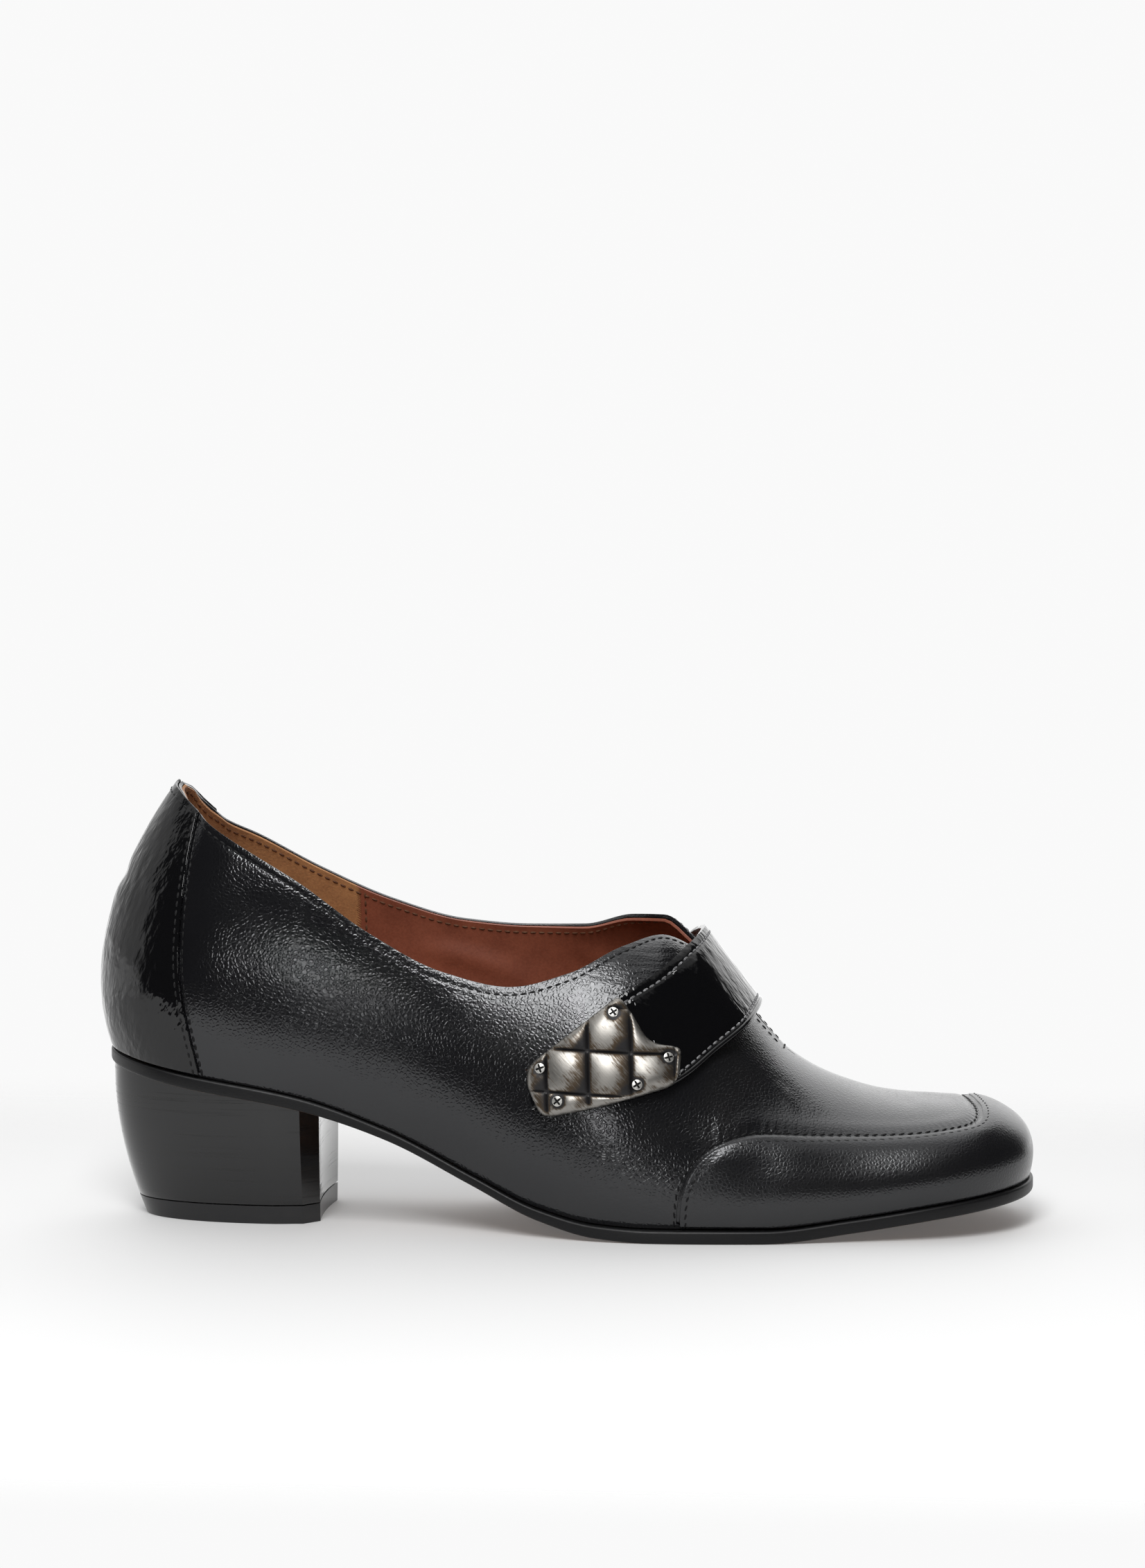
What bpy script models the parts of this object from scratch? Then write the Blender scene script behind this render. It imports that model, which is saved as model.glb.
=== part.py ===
"""Right slip-on shoe with a block heel, a throat slit and an instep strap with a metal plate.

The toe points along +X, the outer (lateral) side is -Y and the floor is Z = 0.
Sizes are in millimetres and each mesh is scaled to metres as it becomes an object.
"""

import math
from typing import NamedTuple

import bmesh
import bpy
import numpy as np
from mathutils import Vector

MM = 0.001

# Driving dimensions of the shoe, which grade the sample last below
LENGTH = 256.0
BALL_WIDTH = 85.0
BACK_HEIGHT = 119.0

# Sizes of the sample last that the tables were measured on
SAMPLE_LENGTH = 256.0
SAMPLE_BALL_WIDTH = 85.0
SAMPLE_BACK_HEIGHT = 119.0
GRADE_X = LENGTH / SAMPLE_LENGTH
GRADE_Y = BALL_WIDTH / SAMPLE_BALL_WIDTH
GRADE_Z = BACK_HEIGHT / SAMPLE_BACK_HEIGHT

# Moves the middle of the finished shoe's bounding box to the origin
ORIGIN_SHIFT = (-0.2, 0.5, 0.0)

# Thicknesses and gaps
GAP = 0.3
WALL = 2.0
PANEL = 0.8
PANEL_FOOT = 0.012
STRAP_THICKNESS = 1.8
STRAP_LIFT = 0.8
PLATE_THICKNESS = 1.5
PLATE_PUFF = 0.9
INSOLE = 2.4
TOP_PIECE = 5.0

# The heel and toe sections turn about these points of the spine, which swings inward to the toe
HEEL_PIVOT = -96.0 * GRADE_X
TOE_PIVOT = 90.0 * GRADE_X
HEEL_RADIUS = 32.0
TOE_RADIUS = 37.0
TOE_SWING = 4.0
SWING_START = 10.0 * GRADE_X
TURN_EASE = 20.0

# The heel block
HEEL_BREAST = -65.0 * GRADE_X
HEEL_BACK = -124.0 * GRADE_X
HEEL_SETBACK = 8.7 * GRADE_X
HEEL_ROUND = 46.0 * GRADE_X
HEEL_HOLLOW = 1.0 * GRADE_X
HEEL_CORNER_LENGTH = 4.6 * GRADE_X
HEEL_CORNER_WIDTH = 5.4 * GRADE_Y
HEEL_HALF_WIDTH = 26.0 * GRADE_Y
HEEL_FRONT_HALF_WIDTH = 24.8 * GRADE_Y
HEEL_TAPER = 3.5 * GRADE_Y
HEEL_TOP = 40.7 * GRADE_Z
HEEL_FULLNESS = 0.8

# The back edge of the toe wall: where it starts at the sole, where it ends, and how late it leans
TOE_WALL_FOOT_X = 34.4 * GRADE_X
TOE_WALL_TOP_X = 43.2 * GRADE_X
TOE_WALL_LEAN = 3

# The quilting of the ornament: spacing, first lines, their number each way and their lean
QUILT = 10.8
QUILT_FIRST_X = 2.0
QUILT_FIRST_UP = 28.6
QUILT_LINES = 4
QUILT_SLANT = 0.06

# The screws of the ornament
SCREW_RADIUS = 1.5
SCREW_TOP_RADIUS = 1.05
SCREW_HEIGHT = 0.7
SCREW_SIDES = 14

# Fineness of the meshes: grids as columns and rows, points of an outline, spacing of cross cuts
UPPER_ROWS = 11
TOE_WALL_GRID = (46, 6)
BACK_PIECE_GRID = (24, 9)
STRAP_GRID = (40, 7)
STRAP_LINES = 5
OUTSOLE_POINTS = 108
INSOLE_POINTS = 84
CUT_SPACING = 8.0
HEEL_LEVELS = 6
HEEL_BREAST_POINTS = 6
HEEL_BACK_POINTS = 11
CORNER_STEPS = 4
QUILT_CUTS = 4
WELD = 0.02
SLIVER = 0.001
SMOOTH_ANGLE = 40.0
HEEL_SMOOTH_ANGLE = 30.0

# Steps for reading a direction off the form, and halvings for finding a height on it
STEP_ROUND = 0.5
STEP_UP = 0.01
BELOW_RIM = 0.999
HALVINGS = 24


class Rib(NamedTuple):
    """Half a section of the last: a cubic curve from the sole's edge up to the rim.

    heading is the way the half section faces in plan, 0 to the toe and -90 to the outer side.
    out is measured from the spine and up from the floor, at the two handles and at the rim.
    """

    x: float
    heading: float
    foot: float
    low_out: float
    low_up: float
    high_out: float
    high_up: float
    rim_out: float
    rim_up: float


# Round the shoe from the heel's back: outer side, toe, inner side
RIBS = (
    Rib(-96, -180, 27.5, 36.4, 70, 25.6, 96, 9.2, 118.7),
    Rib(-96, -135, 27.4, 35.2, 68, 27.0, 94, 11.4, 116.8),
    Rib(-96, -104, 27.2, 33.6, 64, 29.0, 91, 14.8, 111.8),
    Rib(-96, -95, 27.2, 33.2, 63, 29.2, 90, 17.6, 109.2),
    Rib(-88, -90, 27.7, 32.6, 60, 29.6, 86, 21.5, 103.8),
    Rib(-70, -90, 28.2, 33.0, 53, 30.0, 78, 25.4, 93.8),
    Rib(-50, -90, 28.5, 33.4, 46, 31.0, 66, 27.2, 80.0),
    Rib(-30, -90, 30.8, 36.5, 35, 34.0, 56, 29.0, 70.0),
    Rib(-12, -90, 35.2, 41.0, 26, 37.5, 52, 30.0, 66.3),
    Rib(4, -90, 39.0, 45.0, 24, 39.0, 54, 28.0, 70.0),
    Rib(18, -90, 41.4, 47.1, 24, 37.0, 64, 20.5, 76.6),
    Rib(27, -90, 42.3, 47.9, 25, 32.0, 74, 12.0, 78.7),
    Rib(36, -90, 42.8, 48.9, 26, 26.0, 73, 6.0, 74.6),
    Rib(46, -90, 43.0, 49.8, 25, 24.0, 62, 2.6, 64.0),
    Rib(55, -90, 42.8, 50.2, 23, 24.0, 52, 0.9, 52.8),
    Rib(62, -90, 42.2, 51.0, 22, 25.0, 45, 0.0, 45.4),
    Rib(76, -90, 40.4, 48.0, 21, 27.0, 37, 0.0, 38.0),
    Rib(90, -90, 38.4, 45.2, 22, 27.0, 33.6, 0.0, 34.8),
    Rib(90, -58, 37.2, 44.4, 25.4, 25.6, 33, 0.0, 33.4),
    Rib(90, -30, 37.0, 43.6, 29.4, 23.6, 33, 0.0, 33.4),
    Rib(90, 0, 36.0, 42.2, 32, 21.4, 33, 0.0, 33.4),
    Rib(90, 30, 36.6, 43.0, 30.4, 23.2, 33.8, 0.0, 33.4),
    Rib(90, 58, 36.1, 43.0, 27, 24.8, 34, 0.0, 33.4),
    Rib(90, 90, 36.5, 43.4, 24, 25.4, 34.6, 0.0, 34.8),
    Rib(76, 90, 38.2, 46.0, 23, 25.0, 38, 0.0, 38.0),
    Rib(62, 90, 39.6, 48.5, 24, 24.0, 45.4, 0.0, 45.4),
    Rib(55, 90, 39.6, 48.8, 25, 22.0, 52.6, 0.7, 52.8),
    Rib(46, 90, 38.8, 48.2, 27, 21.0, 63.4, 2.2, 64.6),
    Rib(36, 90, 37.0, 46.6, 30, 22.0, 75, 5.0, 75.8),
    Rib(27, 90, 34.8, 45.0, 32, 26.0, 80, 10.5, 81.8),
    Rib(18, 90, 32.2, 43.0, 34, 31.0, 74, 16.0, 81.4),
    Rib(4, 90, 28.4, 39.5, 36, 34.0, 66, 24.6, 77.7),
    Rib(-12, 90, 25.2, 35.5, 38, 33.0, 64, 28.0, 77.2),
    Rib(-30, 90, 23.8, 33.0, 42, 31.5, 66, 27.6, 78.6),
    Rib(-50, 90, 24.6, 32.0, 48, 30.5, 70, 26.6, 84.2),
    Rib(-70, 90, 26.6, 32.2, 54, 30.0, 78, 25.2, 93.0),
    Rib(-88, 90, 27.4, 32.4, 60, 29.4, 86, 21.4, 102.6),
    Rib(-96, 95, 27.2, 33.2, 63, 29.2, 90, 17.6, 107.0),
    Rib(-96, 104, 27.2, 33.6, 64, 29.0, 91, 14.8, 109.8),
    Rib(-96, 135, 27.4, 35.2, 68, 27.0, 94, 11.4, 116.6),
)


class SolePoint(NamedTuple):
    """Height of the sole's upper face along the shoe, how far its edge stands out, and its thickness."""

    x: float
    top: float
    ledge: float
    thick: float


SOLE_LINE = (
    SolePoint(-128, 46.8, 1.4, 3.6),
    SolePoint(-102, 41.4, 1.4, 3.6),
    SolePoint(-70, 35.6, 1.3, 3.4),
    SolePoint(-45, 27.0, 1.2, 2.8),
    SolePoint(-22, 15.9, 1.4, 2.7),
    SolePoint(-4, 7.9, 2.0, 3.0),
    SolePoint(12, 4.3, 2.4, 3.4),
    SolePoint(27, 3.5, 2.6, 3.5),
    SolePoint(57, 3.5, 2.6, 3.5),
    SolePoint(80, 6.0, 2.4, 3.5),
    SolePoint(104, 9.4, 2.3, 3.5),
    SolePoint(128, 12.2, 2.2, 3.5),
)


class StrapRow(NamedTuple):
    """The strap's back and front edge, read in side view, and the side of the shoe it lies on.

    stand_off is how far the strap stands outside the upper there.
    """

    side: int
    back_x: float
    back_up: float
    front_x: float
    front_up: float
    stand_off: float


# From the tip under the ornament, over the instep, to the sewn end on the inner side
STRAP = (
    StrapRow(-1, -6.6, 46.4, -4.2, 33.0, 0.0),
    StrapRow(-1, 5.4, 55.8, 16.4, 35.8, 0.0),
    StrapRow(-1, 17.6, 63.6, 33.0, 41.6, 0.0),
    StrapRow(-1, 27.4, 69.4, 42.0, 48.2, 0.0),
    StrapRow(-1, 34.4, 75.2, 49.6, 54.2, 7.5),
    StrapRow(0, 37.3, 78.8, 52.9, 58.2, 0.0),
    StrapRow(1, 34.2, 76.4, 49.6, 55.0, 4.0),
    StrapRow(1, 27.4, 69.4, 42.0, 48.2, 0.0),
    StrapRow(1, 19.6, 61.0, 33.0, 40.4, 0.0),
    StrapRow(1, 13.0, 52.6, 26.4, 32.0, 0.0),
)

class PlateCorner(NamedTuple):
    """A corner of the ornament's outline in side view, and how far from it its rounding starts."""

    x: float
    up: float
    cut: float


PLATE_CORNERS = (
    PlateCorner(17.4, 63.4, 2.6),
    PlateCorner(20.9, 58.4, 0.0),
    PlateCorner(25.0, 51.6, 3.4),
    PlateCorner(33.2, 50.0, 2.2),
    PlateCorner(32.9, 41.0, 3.4),
    PlateCorner(10.6, 35.0, 9.0),
    PlateCorner(-1.6, 32.8, 3.0),
    PlateCorner(-6.6, 42.4, 4.0),
    PlateCorner(-5.2, 46.2, 2.6),
)


class ScrewSpot(NamedTuple):
    """Where a screw sits on the ornament, in side view."""

    x: float
    up: float


PLATE_SCREWS = (
    ScrewSpot(16.0, 58.8),
    ScrewSpot(29.8, 47.5),
    ScrewSpot(22.5, 41.1),
    ScrewSpot(2.7, 37.1),
    ScrewSpot(-2.2, 45.2),
)


class SeamPoint(NamedTuple):
    """A point of the moc seam: its section's x and heading, and its height on the rib."""

    x: float
    heading: float
    height: float


MOC_SEAM = (
    SeamPoint(43, -90, 0.27),
    SeamPoint(49, -90, 0.325),
    SeamPoint(55, -90, 0.375),
    SeamPoint(68, -90, 0.45),
    SeamPoint(81, -90, 0.495),
    SeamPoint(90, -85, 0.51),
    SeamPoint(90, -65, 0.51),
    SeamPoint(90, -45, 0.50),
    SeamPoint(90, -22, 0.575),
    SeamPoint(90, 0, 0.625),
    SeamPoint(90, 22, 0.64),
    SeamPoint(90, 45, 0.56),
    SeamPoint(90, 65, 0.53),
    SeamPoint(90, 85, 0.52),
    SeamPoint(81, 90, 0.50),
    SeamPoint(68, 90, 0.455),
    SeamPoint(55, 90, 0.385),
    SeamPoint(49, 90, 0.335),
    SeamPoint(43, 90, 0.28),
)


class EdgeLean(NamedTuple):
    """How far the back piece's front edge stands behind the side, in degrees, by height on the rib."""

    height: float
    lean: float


BACK_PIECE_EDGE = (
    EdgeLean(0, 2),
    EdgeLean(0.45, 11),
    EdgeLean(1, 12),
)


class Zone(NamedTuple):
    """A stretch of the grid round the upper: the section that it ends at and its columns."""

    x: float
    heading: float
    columns: int


# Finest where the rim turns at the back tab and at the throat
UPPER_ZONES = (
    Zone(-96, -107, 6),
    Zone(-96, -93, 4),
    Zone(20, -90, 17),
    Zone(62, -90, 12),
    Zone(90, -90, 6),
    Zone(90, -58, 4),
    Zone(90, 58, 12),
    Zone(90, 90, 4),
    Zone(62, 90, 6),
    Zone(20, 90, 12),
    Zone(-96, 93, 17),
    Zone(-96, 107, 4),
    Zone(-96, 180, 6),
)

# What each column of the tables is graded by; the other columns keep their values
GRADES = {
    "x": GRADE_X,
    "back_x": GRADE_X,
    "front_x": GRADE_X,
    "stand_off": GRADE_Y,
    "foot": GRADE_Y,
    "low_out": GRADE_Y,
    "high_out": GRADE_Y,
    "rim_out": GRADE_Y,
    "low_up": GRADE_Z,
    "high_up": GRADE_Z,
    "rim_up": GRADE_Z,
    "top": GRADE_Z,
    "up": GRADE_Z,
    "back_up": GRADE_Z,
    "front_up": GRADE_Z,
}


def graded(table):
    """The rows of a table of the sample last in this shoe's size."""
    rows = []
    for row in table:
        sized = {field: getattr(row, field) * GRADES[field] for field in row._fields if field in GRADES}
        rows.append(row._replace(**sized))
    return rows


def loop_spline(knots, values, period):
    """A smooth closed curve through values at knots that repeat after period."""
    count = len(knots)
    gaps = np.diff(np.append(knots, knots[0] + period))
    rises = np.diff(np.append(values, values[0])) / gaps
    system = np.zeros((count, count))
    bend = np.zeros(count)
    for i in range(count):
        system[i, i - 1] += gaps[i - 1]
        system[i, i] += 2 * (gaps[i - 1] + gaps[i])
        system[i, (i + 1) % count] += gaps[i]
        bend[i] = 6 * (rises[i] - rises[i - 1])
    curve = np.linalg.solve(system, bend)

    def at(s):
        s = knots[0] + (np.asarray(s, float) - knots[0]) % period
        i = np.clip(np.searchsorted(knots, s, side="right") - 1, 0, count - 1)
        j = (i + 1) % count
        b = (s - knots[i]) / gaps[i]
        a = 1 - b
        cubic = ((a**3 - a) * curve[i] + (b**3 - b) * curve[j]) * gaps[i] ** 2 / 6
        return a * values[i] + b * values[j] + cubic

    return at


def line_spline(knots, values):
    """A curve through values at knots that never overshoots them."""
    knots = np.asarray(knots, float)
    values = np.asarray(values, float)
    gaps = np.diff(knots)
    rises = np.diff(values) / gaps
    slopes = np.zeros(len(knots))
    for i in range(1, len(knots) - 1):
        if rises[i - 1] * rises[i] > 0:
            weight = (gaps[i - 1] + 2 * gaps[i], 2 * gaps[i - 1] + gaps[i])
            slopes[i] = sum(weight) / (weight[1] / rises[i] + weight[0] / rises[i - 1])
    slopes[0] = rises[0]
    slopes[-1] = rises[-1]

    def at(x):
        x = np.clip(np.asarray(x, float), knots[0], knots[-1])
        i = np.clip(np.searchsorted(knots, x, side="right") - 1, 0, len(gaps) - 1)
        t = (x - knots[i]) / gaps[i]
        ends = values[i] * (1 + 2 * t) * (1 - t) ** 2 + values[i + 1] * t**2 * (3 - 2 * t)
        return ends + gaps[i] * (slopes[i] * t * (1 - t) ** 2 + slopes[i + 1] * t**2 * (t - 1))

    return at


def eased(run):
    """A run that starts softly: none before zero, its own length after, and a curve near zero."""
    return np.where(abs(run) < TURN_EASE, (run + TURN_EASE) ** 2 / (4 * TURN_EASE), np.maximum(run, 0))


class Last:
    """The shoe's form: points on the upper's outer face by distance round the shoe and height on the rib."""

    def __init__(self):
        ribs = graded(RIBS)
        sole = graded(SOLE_LINE)
        quarter = math.pi / 2
        body = TOE_PIVOT - HEEL_PIVOT
        runs = (HEEL_RADIUS * quarter, body, 2 * TOE_RADIUS * quarter, body, HEEL_RADIUS * quarter)
        self.corners = np.concatenate([[0], np.cumsum(runs)])
        self.round = self.corners[-1]
        self.knots = np.array([self.station(rib.x, rib.heading) for rib in ribs])
        rim = ("rim_out", "rim_up")
        self.column = {
            name: loop_spline(self.knots, np.array([getattr(rib, name) for rib in ribs]), self.round)
            for name in Rib._fields[2:]
            if name not in rim
        }
        lap = np.append(self.knots, self.round)
        for name in rim:
            column = [getattr(rib, name) for rib in ribs]
            self.column[name] = line_spline(lap, column + column[:1])
        self.sole_top = line_spline([p.x for p in sole], [p.top for p in sole])
        self.ledge = line_spline([p.x for p in sole], [p.ledge for p in sole])
        self.thick = line_spline([p.x for p in sole], [p.thick for p in sole])

    def station(self, x, heading):
        """Distance round the shoe, from the heel's back by the outer side, of a section."""
        side = math.radians(abs(heading) - 90)
        if side > 0:
            along = HEEL_RADIUS * (math.pi / 2 - side)
        elif side < 0:
            along = self.corners[2] + TOE_RADIUS * -side
        else:
            along = self.corners[1] + x - HEEL_PIVOT
        return along if heading < 0 else self.round - along

    def spine(self, s):
        """Point of the spine under the rib at s, and the way the rib faces in plan."""
        s = np.asarray(s, float) % self.round
        turns = [eased(s - corner) for corner in self.corners[1:5]]
        x = HEEL_PIVOT + turns[0] - turns[1] - turns[2] + turns[3]
        heel_turn = (s - turns[0] + turns[3]) / HEEL_RADIUS
        heading = heel_turn + (turns[1] - turns[2]) / TOE_RADIUS - math.pi
        share = np.clip((x - SWING_START) / (TOE_PIVOT - SWING_START), 0, 1)
        y = TOE_SWING * share**2 * (3 - 2 * share)
        return x, y, np.cos(heading), np.sin(heading)

    def edge(self, s, beyond=0.0):
        """Point of the sole line at s in plan, so far beyond the upper."""
        x, y, face_x, face_y = self.spine(s)
        out = self.column["foot"](s) + beyond
        return x + out * face_x, y + out * face_y

    def point(self, s, t):
        """Point of the upper's outer face at s, with t from 0 at the sole to 1 at the rim."""
        s = np.asarray(s, float) % self.round
        x, y, face_x, face_y = self.spine(s)
        get = {name: column(s) for name, column in self.column.items()}
        foot_up = self.sole_top(x + get["foot"] * face_x) + GAP
        a = 1 - t
        shares = (a**3, 3 * a**2 * t, 3 * a * t**2, t**3)
        outs = (get["foot"], get["low_out"], get["high_out"], get["rim_out"])
        ups = (foot_up, get["low_up"], get["high_up"], get["rim_up"])
        out = sum(share * value for share, value in zip(shares, outs))
        up = sum(share * value for share, value in zip(shares, ups))
        return np.array((x + out * face_x, y + out * face_y, up))

    def normal(self, s, t):
        """Outward direction of the upper's outer face."""
        round_way = self.point(s + STEP_ROUND, t) - self.point(s - STEP_ROUND, t)
        low = max(t - STEP_UP, 0)
        high = min(t + STEP_UP, BELOW_RIM)
        up_way = self.point(s, high) - self.point(s, low)
        out = np.cross(round_way, up_way)
        return out / np.linalg.norm(out)

    def wall_at(self, side, x, up):
        """Point on one side's wall at a place of the side view, and the outward direction there."""
        s = self.station(x, 90 * side)
        low = 0.0
        high = 1.0
        for _ in range(HALVINGS):
            middle = (low + high) / 2
            if self.point(s, middle)[2] < up:
                low = middle
            else:
                high = middle
        return self.point(s, low), self.normal(s, low)


LAST = Last()


def material(name, colour, roughness, metallic=0.0):
    """A plain finish for one kind of piece."""
    made = bpy.data.materials.new(name)
    made.use_nodes = True
    shader = made.node_tree.nodes["Principled BSDF"]
    shader.inputs["Base Color"].default_value = (*colour, 1.0)
    shader.inputs["Roughness"].default_value = roughness
    shader.inputs["Metallic"].default_value = metallic
    return made


def make_object(name, mesh_edit, finish, smooth_angle=SMOOTH_ANGLE):
    """An object from a bmesh in millimetres, shaded smooth but for its sharp edges."""
    bmesh.ops.translate(mesh_edit, verts=mesh_edit.verts, vec=Vector(ORIGIN_SHIFT))
    bmesh.ops.scale(mesh_edit, verts=mesh_edit.verts, vec=Vector((MM, MM, MM)))
    mesh = bpy.data.meshes.new(name)
    mesh_edit.to_mesh(mesh)
    mesh_edit.free()
    mesh.materials.append(finish)
    mesh.shade_smooth()
    mesh.set_sharp_from_angle(angle=math.radians(smooth_angle))
    made = bpy.data.objects.new(name, mesh)
    bpy.context.scene.collection.objects.link(made)
    return made


def sheet(columns, rows, place):
    """A grid bent into shape: place takes the shares along and across and gives a point."""
    mesh_edit = bmesh.new()
    bmesh.ops.create_grid(mesh_edit, x_segments=columns, y_segments=rows, size=0.5)
    for vert in mesh_edit.verts:
        vert.co = Vector(place(vert.co.x + 0.5, vert.co.y + 0.5))
    bmesh.ops.remove_doubles(mesh_edit, verts=mesh_edit.verts, dist=WELD)
    bmesh.ops.dissolve_degenerate(mesh_edit, edges=mesh_edit.edges, dist=SLIVER)
    return mesh_edit


def thicken(made, thickness, offset):
    """Gives a sheet its thickness, with offset 1 outward and -1 inward."""
    wall = made.modifiers.new("thickness", "SOLIDIFY")
    wall.thickness = thickness * MM
    wall.offset = offset
    wall.use_even_offset = True
    wall.use_quality_normals = True
    return made


def plate(outline, cuts):
    """A flat face with the outline, cut across at (point, direction) planes so that it can bend."""
    mesh_edit = bmesh.new()
    corners = [mesh_edit.verts.new(Vector(point)) for point in outline]
    mesh_edit.faces.new(corners)
    for point, direction in cuts:
        geometry = mesh_edit.verts[:] + mesh_edit.edges[:] + mesh_edit.faces[:]
        bmesh.ops.bisect_plane(mesh_edit, geom=geometry, plane_co=Vector(point), plane_no=Vector(direction))
    return mesh_edit


def raise_levels(mesh_edit, levels, place):
    """Pulls a flat face up through levels; place takes the flat spot and the share of the way up."""
    level_of = {vert: 0 for vert in mesh_edit.verts}
    faces = mesh_edit.faces[:]
    for level in range(1, levels + 1):
        below = faces
        pulled = bmesh.ops.extrude_face_region(mesh_edit, geom=below, use_keep_orig=True)["geom"]
        faces = [item for item in pulled if isinstance(item, bmesh.types.BMFace)]
        if level > 1:
            bmesh.ops.delete(mesh_edit, geom=below, context="FACES")
        level_of.update((item, level) for item in pulled if isinstance(item, bmesh.types.BMVert))
    for vert in mesh_edit.verts:
        vert.co = Vector(place(vert.co, level_of[vert] / levels))
    bmesh.ops.recalc_face_normals(mesh_edit, faces=mesh_edit.faces)
    return mesh_edit


def rounded(corners):
    """A closed outline with each corner turned into a curve that starts and ends cut away from it."""
    points = []
    for index, corner in enumerate(corners):
        here = np.array((corner.x, corner.up))
        before = np.array(corners[index - 1][:2]) - here
        after = np.array(corners[(index + 1) % len(corners)][:2]) - here
        if corner.cut == 0:
            points.append(here)
            continue
        start = here + corner.cut * before / np.linalg.norm(before)
        end = here + corner.cut * after / np.linalg.norm(after)
        for t in np.linspace(0, 1, CORNER_STEPS + 1):
            points.append(start * (1 - t) ** 2 + 2 * here * t * (1 - t) + end * t**2)
    return points


def upper(finish):
    """The hollow upper: every rib round the shoe, welded along the vamp's crest."""
    marks = [0.0]
    for zone in graded(UPPER_ZONES):
        end = LAST.station(zone.x, zone.heading)
        marks.extend(np.linspace(marks[-1], end, zone.columns + 1)[1:])
    columns = len(marks) - 1

    def place(along, across):
        return LAST.point(marks[round(along * columns)], across)

    return thicken(make_object("upper", sheet(columns, UPPER_ROWS, place), finish), WALL, -1)


def panel(name, finish, grid, reach):
    """A panel lying on the upper; reach gives the distance round and the height on the rib."""

    def place(along, across):
        s, t = reach(along, across)
        return LAST.point(s, t) + GAP * LAST.normal(s, t)

    return thicken(make_object(name, sheet(*grid, place), finish), PANEL, 1)


def toe_wall(finish):
    """The panel round the toe, from the sole up to the moc seam, with rounded upper back corners."""
    starts = (LAST.station(TOE_WALL_FOOT_X, -90), LAST.station(TOE_WALL_TOP_X, -90))
    ends = (LAST.station(TOE_WALL_FOOT_X, 90), LAST.station(TOE_WALL_TOP_X, 90))
    points = graded(MOC_SEAM)
    seam = line_spline([LAST.station(p.x, p.heading) for p in points], [p.height for p in points])

    def reach(along, across):
        lean = across**TOE_WALL_LEAN
        start = starts[0] + (starts[1] - starts[0]) * lean
        end = ends[0] + (ends[1] - ends[0]) * lean
        s = start + along * (end - start)
        return s, PANEL_FOOT + (float(seam(s)) - PANEL_FOOT) * across

    return panel("toe_wall", finish, TOE_WALL_GRID, reach)


def back_piece(finish):
    """The panel round the heel, from the sole up over the tab."""
    lean = line_spline([p.height for p in BACK_PIECE_EDGE], [p.lean for p in BACK_PIECE_EDGE])

    def reach(along, across):
        side = HEEL_RADIUS * math.radians(90 - float(lean(across)))
        return (2 * along - 1) * side, PANEL_FOOT + (1 - PANEL_FOOT) * across

    return panel("back_piece", finish, BACK_PIECE_GRID, reach)


def strap_net():
    """The strap's inner face as curves along it, from points laid on the upper's wall."""
    rows = graded(STRAP)
    shares = np.linspace(0, 1, STRAP_LINES)
    net = []
    for row in rows:
        line = []
        for share in shares:
            x = row.back_x + share * (row.front_x - row.back_x)
            up = row.back_up + share * (row.front_up - row.back_up)
            spot = np.array((x, 0.0, up))
            if row.side:
                spot, out = LAST.wall_at(row.side, x, up)
                spot = spot + STRAP_LIFT * out + np.array((0.0, row.side * row.stand_off, 0.0))
            line.append(spot)
        net.append(line)
    net = np.array(net)
    knots = range(len(rows))
    return [[line_spline(knots, net[:, j, axis]) for axis in range(3)] for j in range(len(shares))]


def instep_strap(finish):
    """The strap over the instep, from the tip under the ornament to its sewn end."""
    curves = strap_net()
    across_knots = np.linspace(0, 1, len(curves))

    def place(along, across):
        q = along * (len(STRAP) - 1)
        line = np.array([[curve(q) for curve in axes] for axes in curves])
        return [float(line_spline(across_knots, line[:, axis])(1 - across)) for axis in range(3)]

    return thicken(make_object("instep_strap", sheet(*STRAP_GRID, place), finish), STRAP_THICKNESS, 1)


def quilt_cuts():
    """Planes across the ornament, several to each quilted square, so that it can puff up."""
    cuts = []
    for count in range(-QUILT_CUTS // 2, QUILT_CUTS * QUILT_LINES - QUILT_CUTS // 2):
        shift = count * QUILT / QUILT_CUTS
        cuts.append(((QUILT_FIRST_X + shift, 0, 0), (1, QUILT_SLANT, 0)))
        cuts.append(((0, QUILT_FIRST_UP + shift, 0), (QUILT_SLANT, 1, 0)))
    return cuts


def ornament_plate(finish, lift):
    """The quilted plate on the strap's end, bent to the wall at a lift above it."""
    outline = [(x, up, 0) for x, up in rounded(graded(PLATE_CORNERS))]

    def puff(x, up):
        first = abs(math.sin(math.pi * (x + QUILT_SLANT * up - QUILT_FIRST_X) / QUILT))
        second = abs(math.sin(math.pi * (up + QUILT_SLANT * x - QUILT_FIRST_UP) / QUILT))
        return PLATE_PUFF * math.sqrt(first * second)

    def place(flat, level):
        spot, out = LAST.wall_at(-1, flat.x, flat.y)
        return spot + out * (lift + level * (PLATE_THICKNESS + puff(flat.x, flat.y)))

    return make_object("ornament_plate", raise_levels(plate(outline, quilt_cuts()), 1, place), finish)


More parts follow.
